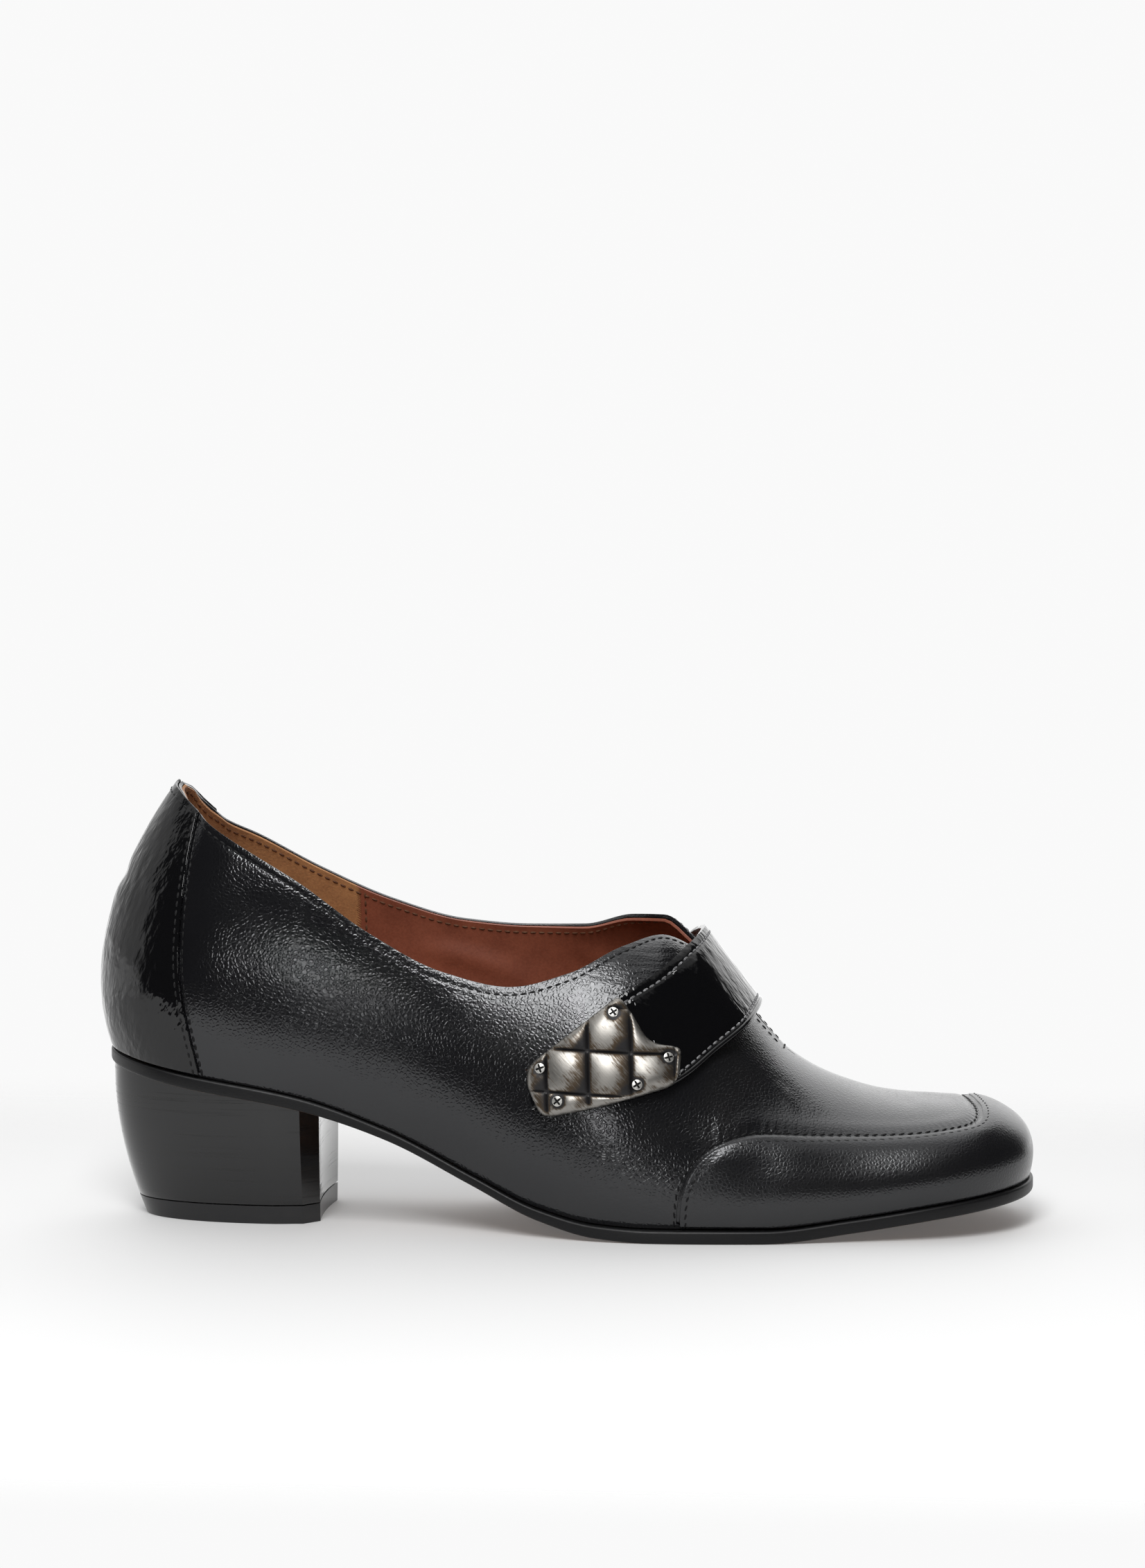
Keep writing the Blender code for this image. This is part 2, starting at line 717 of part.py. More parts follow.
def ornament_screw(index, spot, finish, lift):
    """A screw's domed head, standing on the wall at a lift above it."""
    foot, out = LAST.wall_at(-1, spot.x, spot.up)
    mesh_edit = bmesh.new()
    bmesh.ops.create_cone(
        mesh_edit,
        cap_ends=True,
        segments=SCREW_SIDES,
        radius1=SCREW_RADIUS,
        radius2=SCREW_TOP_RADIUS,
        depth=SCREW_HEIGHT,
    )
    turn = Vector((0, 0, 1)).rotation_difference(Vector(out)).to_matrix()
    middle = Vector(foot + out * (lift + SCREW_HEIGHT / 2))
    bmesh.ops.rotate(mesh_edit, verts=mesh_edit.verts, matrix=turn)
    bmesh.ops.translate(mesh_edit, verts=mesh_edit.verts, vec=middle)
    return make_object(f"ornament_screw_{index}", mesh_edit, finish)


def ornament(finish_plate, finish_screw):
    """The plate on the strap's end and its screws."""
    lift = STRAP_LIFT + STRAP_THICKNESS + GAP
    ornament_plate(finish_plate, lift)
    lift += PLATE_THICKNESS + PLATE_PUFF + GAP
    for index, spot in enumerate(graded(PLATE_SCREWS), 1):
        ornament_screw(index, spot, finish_screw, lift)


def cross_cuts(low, high):
    """Planes across the shoe between two x, so that a flat face can take the arch."""
    return [((x, 0, 0), (1, 0, 0)) for x in np.arange(low, high, CUT_SPACING)]


def sole_sheet(beyond, count):
    """A flat face with the last's outline; beyond gives by x how far outside the upper it runs."""
    outline = []
    for s in np.linspace(0, LAST.round, count, endpoint=False):
        x, y = LAST.edge(s, float(beyond(LAST.edge(s)[0])))
        outline.append((x, y, 0))
    ends = [point[0] for point in outline]
    return plate(outline, cross_cuts(min(ends) + CUT_SPACING, max(ends) - 1))


def outsole(finish):
    """The sole with its arch and toe spring; its upper face follows the last."""

    def place(flat, level):
        return flat.x, flat.y, float(LAST.sole_top(flat.x)) - float(LAST.thick(flat.x)) * (1 - level)

    return make_object("outsole", raise_levels(sole_sheet(LAST.ledge, OUTSOLE_POINTS), 1, place), finish)


def insole(finish):
    """The sock inside the upper, with the same arch."""

    def place(flat, level):
        return flat.x, flat.y, float(LAST.sole_top(flat.x)) + GAP + INSOLE * level

    flat_sock = sole_sheet(lambda x: -WALL - 2 * GAP, INSOLE_POINTS)
    return make_object("insole", raise_levels(flat_sock, 1, place), finish)


def heel_outline():
    """The heel block's outline at its top: hollow breast, cut corners, straight sides and round back."""
    breast_edge = HEEL_FRONT_HALF_WIDTH - HEEL_CORNER_WIDTH
    pivot = HEEL_BACK + HEEL_ROUND
    half = []
    for share in np.linspace(0, 1, HEEL_BREAST_POINTS):
        half.append((HEEL_BREAST - HEEL_HOLLOW * (1 - share**2), share * breast_edge))
    half.append((HEEL_BREAST - HEEL_CORNER_LENGTH, HEEL_FRONT_HALF_WIDTH))
    for turn in np.linspace(0, math.pi / 2, HEEL_BACK_POINTS):
        half.append((pivot - HEEL_ROUND * math.sin(turn), HEEL_HALF_WIDTH * math.cos(turn) ** HEEL_FULLNESS))
    half[-1] = (HEEL_BACK, 0.0)
    return half + [(x, -y) for x, y in half[-2:0:-1]]


def heel_level(flat, up):
    """A point of the heel's outline drawn in for a height above the floor."""
    share = (1 - up / HEEL_TOP) ** 2
    reach = HEEL_BREAST - HEEL_BACK
    x = HEEL_BREAST + (flat.x - HEEL_BREAST) * (1 - share * HEEL_SETBACK / reach)
    y = flat.y * (1 - share * HEEL_TAPER / HEEL_HALF_WIDTH)
    return x, y


def heel_piece(name, finish, levels, low, high):
    """A slice of the heel, with low and high giving the heights of its lower and upper face."""
    outline = [(x, y, 0) for x, y in heel_outline()]
    cuts = cross_cuts(HEEL_BACK + CUT_SPACING, HEEL_BREAST - CUT_SPACING)

    def place(flat, level):
        bottom = low(flat.x)
        x, y = heel_level(flat, bottom + level * (HEEL_TOP - bottom))
        up = bottom + level * (high(x) - bottom)
        return (*heel_level(flat, min(up, HEEL_TOP)), up)

    return make_object(name, raise_levels(plate(outline, cuts), levels, place), finish, HEEL_SMOOTH_ANGLE)


def under_sole(x):
    """Height at which the heel block meets the sole."""
    return float(LAST.sole_top(x)) - float(LAST.thick(x)) - GAP


def main():
    """Builds every piece of the shoe."""
    for old in list(bpy.data.objects):
        bpy.data.objects.remove(old, do_unlink=True)
    calf = material("black_calf", (0.018, 0.018, 0.02), 0.42)
    patent = material("black_patent", (0.01, 0.01, 0.012), 0.08)
    lining = material("lining_leather", (0.24, 0.12, 0.06), 0.7)
    sole_leather = material("sole_leather", (0.03, 0.025, 0.022), 0.5)
    stacked = material("stacked_heel", (0.02, 0.018, 0.017), 0.35)
    rubber = material("lift_rubber", (0.015, 0.015, 0.016), 0.6)
    silver = material("antique_silver", (0.5, 0.48, 0.45), 0.32, 1.0)
    screw = material("screw_metal", (0.56, 0.55, 0.53), 0.28, 1.0)
    upper(calf)
    toe_wall(calf)
    back_piece(patent)
    instep_strap(patent)
    ornament(silver, screw)
    insole(lining)
    outsole(sole_leather)
    heel_piece("heel_block", stacked, HEEL_LEVELS, lambda x: TOP_PIECE + GAP, under_sole)
    heel_piece("heel_top_piece", rubber, 1, lambda x: 0.0, lambda x: TOP_PIECE)


main()
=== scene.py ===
"""Looks of a right slip-on shoe: calf upper, patent back and strap, quilted plate and block heel.

The toe points along +X, the outer side is -Y and the floor is Z = 0.
Tables and sizes are in millimetres, and meshes are scaled to metres as they are bent into shape.
Only the floor and the lamps are in metres.
"""

import itertools
import logging
import math
from dataclasses import dataclass, field
from enum import Enum
from typing import Callable, Dict, List, NamedTuple, Optional, Sequence, Tuple, Union

import bmesh
import bpy
import numpy as np
from mathutils import Matrix, Vector


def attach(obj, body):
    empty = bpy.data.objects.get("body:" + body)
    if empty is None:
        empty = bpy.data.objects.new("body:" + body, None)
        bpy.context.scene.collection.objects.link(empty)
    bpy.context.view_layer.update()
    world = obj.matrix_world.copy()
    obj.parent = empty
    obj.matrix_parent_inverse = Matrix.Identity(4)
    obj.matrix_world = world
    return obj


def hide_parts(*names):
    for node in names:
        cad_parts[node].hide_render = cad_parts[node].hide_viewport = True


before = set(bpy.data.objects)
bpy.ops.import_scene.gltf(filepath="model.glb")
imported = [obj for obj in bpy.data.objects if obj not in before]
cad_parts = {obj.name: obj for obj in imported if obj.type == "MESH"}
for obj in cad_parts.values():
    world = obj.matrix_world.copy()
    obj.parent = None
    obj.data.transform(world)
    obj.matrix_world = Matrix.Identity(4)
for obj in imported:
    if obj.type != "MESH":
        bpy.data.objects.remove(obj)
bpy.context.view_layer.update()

LOG = logging.getLogger("shoe")
MM = 0.001
BODY = "root"

# Moves the tables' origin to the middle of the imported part
SHIFT = np.array((-0.2, 0.5, 0.0))

# Rounded edges of sheets, and the length below which a bent grid's edges are dropped
EDGE_SEGMENTS = 3
EDGE_ANGLE = math.radians(55)
SLIVER = 0.002

Array = np.ndarray
Triple = Tuple[float, float, float]
Colour = Triple
Curve = Callable[[Array], Array]


class Side(Enum):
    """The two sides of the shoe, by the sign of Y."""

    OUTER = -1
    INNER = 1


class Rib(NamedTuple):
    """Half a section of the last: a cubic curve from the sole's edge up to the rim."""

    x: float
    heading: float
    foot: float
    low_out: float
    low_up: float
    high_out: float
    high_up: float
    rim_out: float
    rim_up: float


# Round the shoe from the heel's back: outer side, toe, inner side
RIBS = (
    Rib(-96, -180, 27.5, 36.4, 70, 25.6, 96, 9.2, 118.7),
    Rib(-96, -135, 27.4, 35.2, 68, 27.0, 94, 11.4, 116.8),
    Rib(-96, -104, 27.2, 33.6, 64, 29.0, 91, 14.8, 111.8),
    Rib(-96, -95, 27.2, 33.2, 63, 29.2, 90, 17.6, 109.2),
    Rib(-88, -90, 27.7, 32.6, 60, 29.6, 86, 21.5, 103.8),
    Rib(-70, -90, 28.2, 33.0, 53, 30.0, 78, 25.4, 93.8),
    Rib(-50, -90, 28.5, 33.4, 46, 31.0, 66, 27.2, 80.0),
    Rib(-30, -90, 30.8, 36.5, 35, 34.0, 56, 29.0, 70.0),
    Rib(-12, -90, 35.2, 41.0, 26, 37.5, 52, 30.0, 66.3),
    Rib(4, -90, 39.0, 45.0, 24, 39.0, 54, 28.0, 70.0),
    Rib(18, -90, 41.4, 47.1, 24, 37.0, 64, 20.5, 76.6),
    Rib(27, -90, 42.3, 47.9, 25, 32.0, 74, 12.0, 78.7),
    Rib(36, -90, 42.8, 48.9, 26, 26.0, 73, 6.0, 74.6),
    Rib(46, -90, 43.0, 49.8, 25, 24.0, 62, 2.6, 64.0),
    Rib(55, -90, 42.8, 50.2, 23, 24.0, 52, 0.9, 52.8),
    Rib(62, -90, 42.2, 51.0, 22, 25.0, 45, 0.0, 45.4),
    Rib(76, -90, 40.4, 48.0, 21, 27.0, 37, 0.0, 38.0),
    Rib(90, -90, 38.4, 45.2, 22, 27.0, 33.6, 0.0, 34.8),
    Rib(90, -58, 37.2, 44.4, 25.4, 25.6, 33, 0.0, 33.4),
    Rib(90, -30, 37.0, 43.6, 29.4, 23.6, 33, 0.0, 33.4),
    Rib(90, 0, 36.0, 42.2, 32, 21.4, 33, 0.0, 33.4),
    Rib(90, 30, 36.6, 43.0, 30.4, 23.2, 33.8, 0.0, 33.4),
    Rib(90, 58, 36.1, 43.0, 27, 24.8, 34, 0.0, 33.4),
    Rib(90, 90, 36.5, 43.4, 24, 25.4, 34.6, 0.0, 34.8),
    Rib(76, 90, 38.2, 46.0, 23, 25.0, 38, 0.0, 38.0),
    Rib(62, 90, 39.6, 48.5, 24, 24.0, 45.4, 0.0, 45.4),
    Rib(55, 90, 39.6, 48.8, 25, 22.0, 52.6, 0.7, 52.8),
    Rib(46, 90, 38.8, 48.2, 27, 21.0, 63.4, 2.2, 64.6),
    Rib(36, 90, 37.0, 46.6, 30, 22.0, 75, 5.0, 75.8),
    Rib(27, 90, 34.8, 45.0, 32, 26.0, 80, 10.5, 81.8),
    Rib(18, 90, 32.2, 43.0, 34, 31.0, 74, 16.0, 81.4),
    Rib(4, 90, 28.4, 39.5, 36, 34.0, 66, 24.6, 77.7),
    Rib(-12, 90, 25.2, 35.5, 38, 33.0, 64, 28.0, 77.2),
    Rib(-30, 90, 23.8, 33.0, 42, 31.5, 66, 27.6, 78.6),
    Rib(-50, 90, 24.6, 32.0, 48, 30.5, 70, 26.6, 84.2),
    Rib(-70, 90, 26.6, 32.2, 54, 30.0, 78, 25.2, 93.0),
    Rib(-88, 90, 27.4, 32.4, 60, 29.4, 86, 21.4, 102.6),
    Rib(-96, 95, 27.2, 33.2, 63, 29.2, 90, 17.6, 107.0),
    Rib(-96, 104, 27.2, 33.6, 64, 29.0, 91, 14.8, 109.8),
    Rib(-96, 135, 27.4, 35.2, 68, 27.0, 94, 11.4, 116.6),
)


class SolePoint(NamedTuple):
    """Height of the sole's upper face along the shoe, how far its edge stands out, and its thickness."""

    x: float
    top: float
    ledge: float
    thick: float


SOLE_LINE = (
    SolePoint(-128, 46.8, 1.4, 3.6),
    SolePoint(-102, 41.4, 1.4, 3.6),
    SolePoint(-70, 35.6, 1.3, 3.4),
    SolePoint(-45, 27.0, 1.2, 2.8),
    SolePoint(-22, 15.9, 1.4, 2.7),
    SolePoint(-4, 7.9, 2.0, 3.0),
    SolePoint(12, 4.3, 2.4, 3.4),
    SolePoint(27, 3.5, 2.6, 3.5),
    SolePoint(57, 3.5, 2.6, 3.5),
    SolePoint(80, 6.0, 2.4, 3.5),
    SolePoint(104, 9.4, 2.3, 3.5),
    SolePoint(128, 12.2, 2.2, 3.5),
)


class StrapRow(NamedTuple):
    """The strap's edges in side view, its side (None on the crest) and how far it stands off the upper."""

    side: Optional[Side]
    back_x: float
    back_up: float
    front_x: float
    front_up: float
    stand_off: float


# From the tip under the ornament, over the instep, to the sewn end on the inner side
STRAP = (
    StrapRow(Side.OUTER, -6.6, 46.4, -4.2, 33.0, 0.0),
    StrapRow(Side.OUTER, 5.4, 55.8, 16.4, 35.8, 0.0),
    StrapRow(Side.OUTER, 17.6, 63.6, 33.0, 41.6, 0.0),
    StrapRow(Side.OUTER, 27.4, 69.4, 42.0, 48.2, 0.0),
    StrapRow(Side.OUTER, 34.4, 75.2, 49.6, 54.2, 7.5),
    StrapRow(None, 37.3, 78.8, 52.9, 58.2, 0.0),
    StrapRow(Side.INNER, 34.2, 76.4, 49.6, 55.0, 4.0),
    StrapRow(Side.INNER, 27.4, 69.4, 42.0, 48.2, 0.0),
    StrapRow(Side.INNER, 19.6, 61.0, 33.0, 40.4, 0.0),
    StrapRow(Side.INNER, 13.0, 52.6, 26.4, 32.0, 0.0),
)


class PlateCorner(NamedTuple):
    """A corner of the ornament's outline in side view, and how far from it the rounding starts."""

    x: float
    up: float
    cut: float


PLATE_CORNERS = (
    PlateCorner(17.4, 63.4, 2.6),
    PlateCorner(20.9, 58.4, 0.0),
    PlateCorner(25.0, 51.6, 3.4),
    PlateCorner(33.2, 50.0, 2.2),
    PlateCorner(32.9, 41.0, 3.4),
    PlateCorner(10.6, 35.0, 9.0),
    PlateCorner(-1.6, 32.8, 3.0),
    PlateCorner(-6.6, 42.4, 4.0),
    PlateCorner(-5.2, 46.2, 2.6),
)


class Screw(NamedTuple):
    """A screw of the ornament: its middle in side view, and the turn of its cross in radians."""

    x: float
    up: float
    turn: float


PLATE_SCREWS = (
    Screw(16.0, 58.8, 0.6),
    Screw(29.8, 47.5, 0.2),
    Screw(22.5, 41.1, 0.55),
    Screw(2.7, 37.1, 0.7),
    Screw(-2.2, 45.2, 0.35),
)


class SeamPoint(NamedTuple):
    """Height of the moc seam as a share of the rib, by the section's x and heading."""

    x: float
    heading: float
    share: float


MOC_SEAM = (
    SeamPoint(43, -90, 0.27),
    SeamPoint(49, -90, 0.325),
    SeamPoint(55, -90, 0.375),
    SeamPoint(68, -90, 0.45),
    SeamPoint(81, -90, 0.495),
    SeamPoint(90, -85, 0.51),
    SeamPoint(90, -65, 0.51),
    SeamPoint(90, -45, 0.50),
    SeamPoint(90, -22, 0.575),
    SeamPoint(90, 0, 0.625),
    SeamPoint(90, 22, 0.64),
    SeamPoint(90, 45, 0.56),
    SeamPoint(90, 65, 0.53),
    SeamPoint(90, 85, 0.52),
    SeamPoint(81, 90, 0.50),
    SeamPoint(68, 90, 0.455),
    SeamPoint(55, 90, 0.385),
    SeamPoint(49, 90, 0.335),
    SeamPoint(43, 90, 0.28),
)


class Fold(NamedTuple):
    """A soft crease between two spots of the side view; a negative height is a trough."""

    side: Side
    x: float
    up: float
    end_x: float
    end_up: float
    width: float
    height: float


# Creases of the calf
CALF_FOLDS = (
    Fold(Side.OUTER, 47.5, 37.0, 40.5, 28.0, 1.7, 0.04),
    Fold(Side.OUTER, 44.0, 37.0, 36.0, 30.0, 1.4, -0.035),
    Fold(Side.OUTER, 53.5, 36.0, 44.5, 25.5, 1.7, 0.045),
    Fold(Side.OUTER, 50.5, 36.5, 42.5, 27.0, 1.3, -0.035),
    Fold(Side.OUTER, 57.0, 34.0, 49.0, 25.0, 0.9, -0.06),
    Fold(Side.OUTER, 59.5, 41.5, 66.5, 33.0, 1.0, -0.13),
    Fold(Side.OUTER, 58.0, 40.0, 64.5, 32.0, 1.3, 0.11),
    Fold(Side.OUTER, 15.0, 70.0, 29.0, 71.5, 0.9, -0.1),
    Fold(Side.OUTER, 12.0, 68.0, 27.0, 69.5, 0.8, -0.08),
    Fold(Side.OUTER, 20.0, 73.2, 31.0, 73.8, 0.9, -0.1),
    Fold(Side.OUTER, 2.0, 66.0, 11.0, 68.5, 0.8, -0.07),
    Fold(Side.OUTER, -26.0, 66.0, -20.0, 60.0, 1.2, -0.07),
    Fold(Side.OUTER, -93.0, 104.0, -82.0, 97.5, 1.1, -0.07),
    Fold(Side.INNER, 48.0, 38.0, 40.0, 29.0, 1.19, 0.14),
    Fold(Side.INNER, 45.0, 38.0, 37.0, 30.5, 1.05, -0.13),
    Fold(Side.INNER, 54.0, 37.0, 45.5, 27.0, 1.19, 0.14),
    Fold(Side.INNER, 58.0, 35.0, 50.0, 26.0, 1.05, -0.1),
    Fold(Side.INNER, 15.0, 75.5, 29.0, 76.5, 0.9, -0.08),
)

# Creases of the lining
LINING_FOLDS = (
    Fold(Side.INNER, -44.0, 70.0, -12.0, 60.0, 3.2, -0.7),
    Fold(Side.INNER, -30.0, 76.0, 2.0, 66.0, 2.6, 0.6),
    Fold(Side.INNER, 2.0, 72.0, 18.0, 58.0, 3.0, -0.6),
    Fold(Side.OUTER, -36.0, 62.0, -8.0, 52.0, 3.2, -0.6),
)


def spline(knots: Sequence[float], values: Sequence[float], period: Optional[float] = None) -> Curve:
    """A smooth curve through values at knots.

    Args:
        knots: Rising places of the values.
        values: What the curve passes through.
        period: Where given, the curve is closed and repeats after it.

    Returns:
        The curve as a function of arrays.
    """
    places = np.asarray(knots, float)
    levels = np.asarray(values, float)
    if period:
        places = np.append(places, places[0] + period)
        levels = np.append(levels, levels[0])
    gaps = np.diff(places)
    rises = np.diff(levels) / gaps
    last = len(places) - 1
    system = np.eye(last + 1)
    bend = np.zeros(last + 1)
    for i in range(1, last):
        system[i, i - 1:i + 2] = gaps[i - 1], 2 * (gaps[i - 1] + gaps[i]), gaps[i]
        bend[i] = 6 * (rises[i] - rises[i - 1])
    if period:
        system[0, [0, 1, last - 1]] = 2 * (gaps[-1] + gaps[0]), gaps[0], gaps[-1]
        bend[0] = 6 * (rises[0] - rises[-1])
        system[last, 0] = -1
    curve = np.linalg.solve(system, bend)

    def at(place: Array) -> Array:
        """Value of the curve."""
        place = np.asarray(place, float)
        if period:
            place = places[0] + (place - places[0]) % period
        i = np.clip(np.searchsorted(places, place, side="right") - 1, 0, last - 1)
        b = (place - places[i]) / gaps[i]
        a = 1 - b
        cubic = ((a**3 - a) * curve[i] + (b**3 - b) * curve[i + 1]) * gaps[i] ** 2 / 6
        return a * levels[i] + b * levels[i + 1] + cubic

    return at


def steady(knots: Sequence[float], values: Sequence[float]) -> Curve:
    """A curve through values at knots that never overshoots them.

    Args:
        knots: Rising places of the values.
        values: What the curve passes through.

    Returns:
        The curve as a function of arrays, held level beyond its ends.
    """
    places = np.asarray(knots, float)
    levels = np.asarray(values, float)
    gaps = np.diff(places)
    rises = np.diff(levels) / gaps
    slopes = np.zeros(len(places))
    for i in range(1, len(places) - 1):
        if rises[i - 1] * rises[i] > 0:
            weight = (gaps[i - 1] + 2 * gaps[i], 2 * gaps[i - 1] + gaps[i])
            slopes[i] = sum(weight) / (weight[1] / rises[i] + weight[0] / rises[i - 1])
    slopes[0], slopes[-1] = rises[0], rises[-1]

    def at(place: Array) -> Array:
        """Value of the curve."""
        place = np.clip(np.asarray(place, float), places[0], places[-1])
        i = np.clip(np.searchsorted(places, place, side="right") - 1, 0, len(gaps) - 1)
        t = (place - places[i]) / gaps[i]
        ends = levels[i] * (1 + 2 * t) * (1 - t) ** 2 + levels[i + 1] * t**2 * (3 - 2 * t)
        return ends + gaps[i] * (slopes[i] * t * (1 - t) ** 2 + slopes[i + 1] * t**2 * (t - 1))

    return at


class Rise(NamedTuple):
    """A soft step from 0 at low to 1 at high, where low may be the greater."""

    low: float
    high: float

    def __call__(self, value: Array) -> Array:
        """Height of the step."""
        share = np.clip((np.asarray(value, float) - self.low) / (self.high - self.low), 0, 1)
        return share**2 * (3 - 2 * share)


class Hump(NamedTuple):
    """A soft bump about a middle."""

    middle: float
    width: float
    height: float = 1.0

    def __call__(self, value: Array) -> Array:
        """Height of the bump."""
        return self.height * np.exp(-(((np.asarray(value, float) - self.middle) / self.width) ** 2))


def arch(w: Array) -> Array:
    """Height of a half circle of radius 1 over its base, from -1 to 1."""
    return np.sqrt(np.maximum(1 - w**2, 0))


def nearest(share: Array, count: int) -> Array:
    """Index of the grid's line at a share of a number of faces."""
    return np.rint(share * count).astype(int)


def unit(vectors: Array) -> Array:
    """The vectors at length 1."""
    return vectors / np.maximum(np.linalg.norm(vectors, axis=-1, keepdims=True), 1e-9)


@dataclass
class Last:
    """The shoe's form: points by distance round the shoe, s, and by the share t of the way up the rib."""

    heel_pivot: float = -96.0
    toe_pivot: float = 90.0
    heel_radius: float = 32.0
    toe_radius: float = 37.0
    toe_swing: float = 4.0
    swing_start: float = 10.0
    turn_ease: float = 20.0
    gap: float = 0.3
    probe_round: float = 0.5
    probe_up: float = 0.01
    steep_top: float = 0.97
    halvings: int = 24
    corners: Array = field(init=False)
    round: float = field(init=False)
    column: Dict[str, Curve] = field(init=False)
    sole_top: Curve = field(init=False)
    ledge: Curve = field(init=False)
    thick: Curve = field(init=False)

    def __post_init__(self) -> None:
        """Lays the curves through the tables."""
        quarter = math.pi / 2
        body = self.toe_pivot - self.heel_pivot
        heel, toe = self.heel_radius * quarter, self.toe_radius * quarter
        self.corners = np.concatenate([[0.0], np.cumsum((heel, body, 2 * toe, body, heel))])
        self.round = float(self.corners[-1])
        knots = [self.station(rib.x, rib.heading) for rib in RIBS]
        self.column = {}
        for name in Rib._fields[2:]:
            values = [getattr(rib, name) for rib in RIBS]
            if name.startswith("rim"):
                self.column[name] = steady(knots + [self.round], values + values[:1])
            else:
                self.column[name] = spline(knots, values, self.round)
        along, *columns = zip(*SOLE_LINE)
        self.sole_top, self.ledge, self.thick = (steady(along, column) for column in columns)

    def station(self, x: float, heading: float) -> float:
        """Distance round the shoe of a section, from the heel's back by the outer side."""
        side = math.radians(abs(heading) - 90)
        if side > 0:
            along = self.heel_radius * (math.pi / 2 - side)
        elif side < 0:
            along = self.corners[2] - self.toe_radius * side
        else:
            along = self.corners[1] + x - self.heel_pivot
        return float(along if heading < 0 else self.round - along)

    def eased(self, run: Array) -> Array:
        """A run that starts softly: none before zero, its own length after."""
        soft = (run + self.turn_ease) ** 2 / (4 * self.turn_ease)
        return np.where(abs(run) < self.turn_ease, soft, np.maximum(run, 0))

    def swing(self, x: Array) -> Array:
        """How far the spine swings to the inner side."""
        return self.toe_swing * Rise(self.swing_start, self.toe_pivot)(x)

    def spine(self, s: Array) -> Tuple[Array, Array, Array, Array]:
        """Point of the spine under the rib at s, and the way the rib faces in plan."""
        s = np.asarray(s, float) % self.round
        turns = [self.eased(s - corner) for corner in self.corners[1:5]]
        x = self.heel_pivot + turns[0] - turns[1] - turns[2] + turns[3]
        heading = (s - turns[0] + turns[3]) / self.heel_radius
        heading = heading + (turns[1] - turns[2]) / self.toe_radius - math.pi
        return x, self.swing(x), np.cos(heading), np.sin(heading)

    def inset(self, s: Array, share: Array, beyond: Array, up: Array) -> Array:
        """Points between the spine and the sole's line.

        Args:
            s: Distance round the shoe.
            share: 0 on the spine and 1 on the line.
            beyond: How far the line lies outside the upper.
            up: Height of the points above the sole's upper face.

        Returns:
            Points in millimetres.
        """
        x, y, face_x, face_y = self.spine(s)
        out = (self.column["foot"](np.asarray(s, float) % self.round) + beyond) * share
        x = x + out * face_x
        return np.stack((x, y + out * face_y, self.sole_top(x) + up), axis=-1)

    def point(self, s: Array, t: Array) -> Array:
        """Points of the upper's outer face."""
        s = np.asarray(s, float) % self.round
        t = np.asarray(t, float)
        x, y, face_x, face_y = self.spine(s)
        get = {name: column(s) for name, column in self.column.items()}
        foot_up = self.sole_top(x + get["foot"] * face_x) + self.gap
        a = 1 - t
        shares = (a**3, 3 * a**2 * t, 3 * a * t**2, t**3)
        outs = (get["foot"], get["low_out"], get["high_out"], get["rim_out"])
        ups = (foot_up, get["low_up"], get["high_up"], get["rim_up"])
        out = sum(share * value for share, value in zip(shares, outs))
        up = sum(share * value for share, value in zip(shares, ups))
        return np.stack((x + out * face_x, y + out * face_y, up), axis=-1)

    def normal(self, s: Array, t: Array) -> Array:
        """Outward directions of the upper's outer face."""
        s = np.asarray(s, float)
        t = np.minimum(np.asarray(t, float), self.steep_top)
        round_way = self.point(s + self.probe_round, t) - self.point(s - self.probe_round, t)
        up_way = self.point(s, t + self.probe_up) - self.point(s, np.maximum(t - self.probe_up, 0))
        return unit(np.cross(round_way, up_way))

    def drops(self, s: Array, steps: int = 120) -> Tuple[Array, Array]:
        """Distance below the rim along each rib.

        Args:
            s: Distances round the shoe, one for each rib.
            steps: Steps up the rib.

        Returns:
            The shares up the rib, falling from 1, and for each rib the distances below the rim there.
        """
        t = np.linspace(1, 0, steps + 1)
        spots = self.point(np.asarray(s, float)[:, None], t[None, :])
        parts = np.linalg.norm(np.diff(spots, axis=1), axis=-1)
        return t, np.concatenate([np.zeros((len(parts), 1)), np.cumsum(parts, axis=1)], axis=1)

    def below_rim(self, s: Array, distance: Array) -> Array:
        """Shares up the rib of spots at a distance below the rim."""
        t, fall = self.drops(s)
        distance = np.broadcast_to(distance, len(fall))
        return np.array([np.interp(d, row, t) for d, row in zip(distance, fall)])

    def side_spot(self, side: Side, x: Array, up: Array) -> Tuple[Array, Array]:
        """Points on one side's wall at places of the side view, and the outward directions there."""
        s = self.corners[1] + np.asarray(x, float) - self.heel_pivot
        s = s if side is Side.OUTER else self.round - s
        low, high = np.zeros_like(s), np.ones_like(s)
        for _ in range(self.halvings):
            middle = (low + high) / 2
            under = self.point(s, middle)[..., 2] < up
            low, high = np.where(under, middle, low), np.where(under, high, middle)
        return self.point(s, low), self.normal(s, low)


LAST = Last()


@dataclass
class Patch:
    """Points of a bent grid, and the marks that its material reads."""

    spots: Array
    marks: Dict[str, Array] = field(default_factory=dict)


Place = Callable[[Array, Array], Patch]


